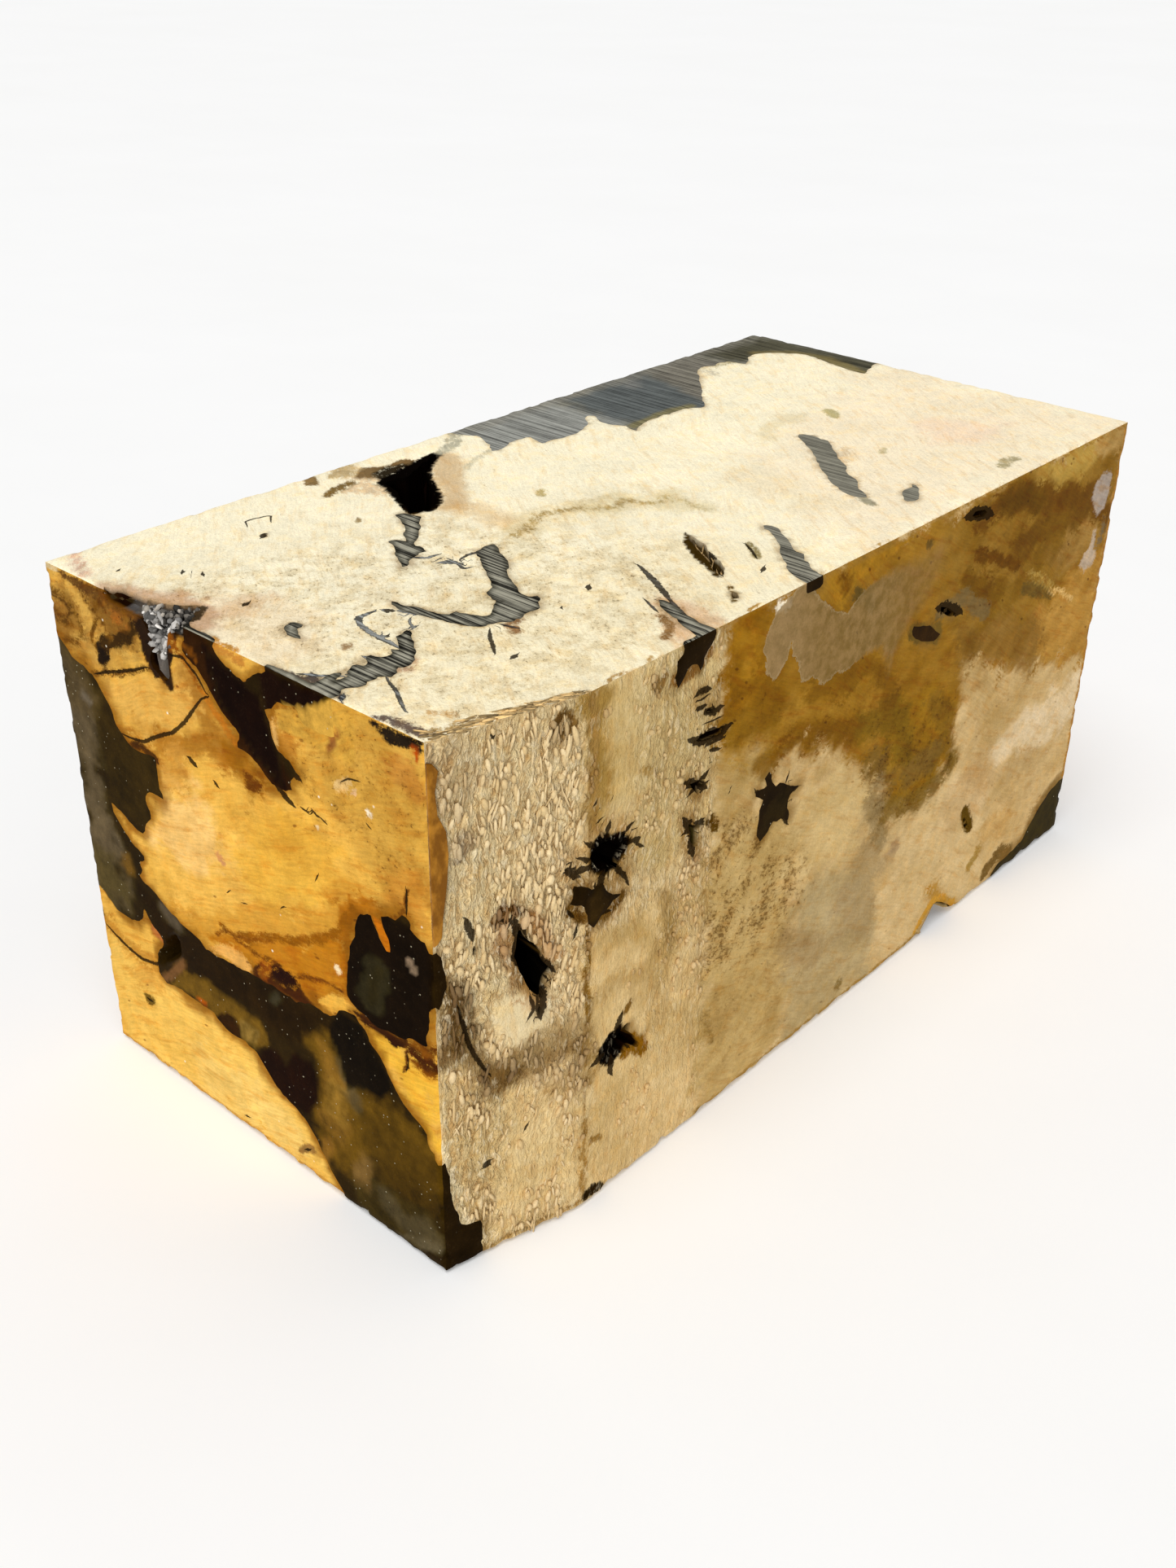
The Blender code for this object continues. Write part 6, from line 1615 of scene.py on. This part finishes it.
def make_fibres(finish):
    """Torn fibres on the facet and the band beside it, on the top's worn corner and in its slit."""
    dice = np.random.default_rng(7)
    slope = np.array([FACET_LENGTH, -FACET_DEPTH, 0]) / math.hypot(FACET_LENGTH, FACET_DEPTH)
    facet_out = np.cross(slope, (0, 0, 1))
    spots = []
    tries = np.column_stack([dice.uniform(0.4, 44.6, FRONT_TRIES), dice.uniform(0.6, 76.6, FRONT_TRIES)])
    points = np.column_stack([tries[:, 0], np.maximum(FACET_DEPTH * (1 - tries[:, 0] / FACET_LENGTH), 0),
                              tries[:, 1]])
    torn = spread_of(tries, TORN)
    ground, marks, amount = paint(tries, points, BASE["front"], STAINS["front"], CRISP["front"])
    shade = ground * (1 - amount[:, None]) + marks * amount[:, None]
    normals = np.where(tries[:, :1] < FACET_LENGTH, facet_out, (0.0, -1.0, 0.0))
    clear = find_gaps(points, normals, "front")[0]
    side, width, _ = crack_lines(tries, CRACKS["front"])
    torn = torn * smooth(0.35, 0.65, noise(points, (5, 5, 8), 37)) * 0.9
    for n in range(len(tries)):
        on_facet = tries[n, 0] < FACET_LENGTH
        if dice.uniform() > torn[n] * (1.0 if on_facet else 0.8) or clear[n] < 0.5:
            continue
        if abs(side[n]) < width[n]:
            continue
        length = dice.gamma(3.0, 0.38) + 0.5 if on_facet else dice.uniform(0.5, 1.3)
        lie = chip_at(points[n], normals[n], UP, dice, length, dice.gamma(3.0, 0.6) + 0.5, 0.2)
        pale = dice.uniform(0, 0.42) * (1.0 if on_facet else 0.6)
        pale *= min(1, shade[n].mean() / 0.4) ** 1.5
        tone = shade[n] * (1 - pale) + rgb(*FRONT_PALE) * pale
        spots.append((*lie, to_shown(tone)))
    for _ in range(CORNER_CHIPS):
        u = dice.uniform(0.3, 20)
        v = (5.4 - 0.25 * u) * 0.98 + dice.uniform(-0.6, 2.4) * (1 - u / 26)
        lie = chip_at((u, v, HEIGHT), UP, (0.8, -0.6, 0), dice, dice.uniform(0.8, 2.2),
                      dice.uniform(0.8, 1.8), 0.12)
        spots.append((*lie, dimmed(CORNER_PALE, dice.uniform(0.55, 1.2))))
    for _ in range(SLIT_CHIPS):
        t = dice.uniform()
        u, v = 56.6 + 8 * t + dice.normal(0, 0.35), 10 + 11 * t + dice.normal(0, 0.3)
        lie = chip_at((u, v, HEIGHT - dice.uniform(0.4, 1.8)), UP, (0.6, 0.8, 0), dice,
                      dice.uniform(1.2, 3.6), dice.uniform(0.7, 1.6), 0.3)
        spots.append((*lie, dimmed(SLIT_PALE, dice.uniform(0.4, 1.15))))
    piece = scatter("torn_fibres", make_seed(0.2, 0.2), spots)
    piece.data.materials.append(finish)
    return piece


# Each bed of crumbs: the point at a depth under a place in its drawing, how many crumbs it has, their
# palest colour, and its outline.
CRUMB_BEDS = [
    (lambda u, v, depth: (depth, WIDTH - u, v), 200, (212, 207, 200),
     [(20, 76.9), (27.8, 76.9), (26.4, 73.6), (25, 71.4), (22.8, 70.8), (21.4, 73)]),
    (lambda u, v, depth: (u, v, HEIGHT - depth), 110, (166, 158, 146),
     [(0.3, 47.2), (0.3, 56.6), (2.4, 52.4), (5.2, 49.3), (3, 47.8)]),
]


def make_crumbs(finish):
    """Grey and brown crumbs of bark, caught in the two hollows on the edge between top and near end."""
    dice = np.random.default_rng(11)
    spots = []
    for point_at, count, pale, outline in CRUMB_BEDS:
        low, high = np.min(outline, axis=0), np.max(outline, axis=0)
        made = 0
        while made < count:
            uv = dice.uniform(low, high)
            if into_area(uv[None], outline)[0] < 0.15:
                continue
            made += 1
            depth = dice.uniform(0.15, 1.7)
            size = dice.uniform(0.5, 1.5)
            turned = np.linalg.qr(dice.normal(size=(3, 3)))[0]
            sizes = turned * (size * dice.uniform(0.5, 1.3, 3))[:, None]
            # Besides their random brightness, crumbs that lie deeper are painted darker, as painted shade.
            light = dice.uniform(0.25, 1.1) * (1.1 - 0.3 * depth)
            spots.append((np.array(point_at(*uv, depth)), sizes, dimmed(pale, light)))
    piece = scatter("bark_crumbs", make_seed(0.95, 0.6), spots)
    piece.data.materials.append(finish)
    return piece


def main():
    set_camera()
    set_studio()
    wood, resins = make_blank()
    wood.data.materials.append(burl_finish())
    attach(wood, "root")
    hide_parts("burl_wood")
    resin = resin_finish()
    for piece, node in resins:
        piece.data.materials.append(resin)
        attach(piece, "root")
        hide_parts(node)
    fibre = fibre_finish()
    for piece in (make_fibres(fibre), make_crumbs(fibre)):
        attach(piece, "root")
    bead = make_wax_bead(wax_finish())
    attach(bead, "root")
    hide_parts("wax_bead")


main()
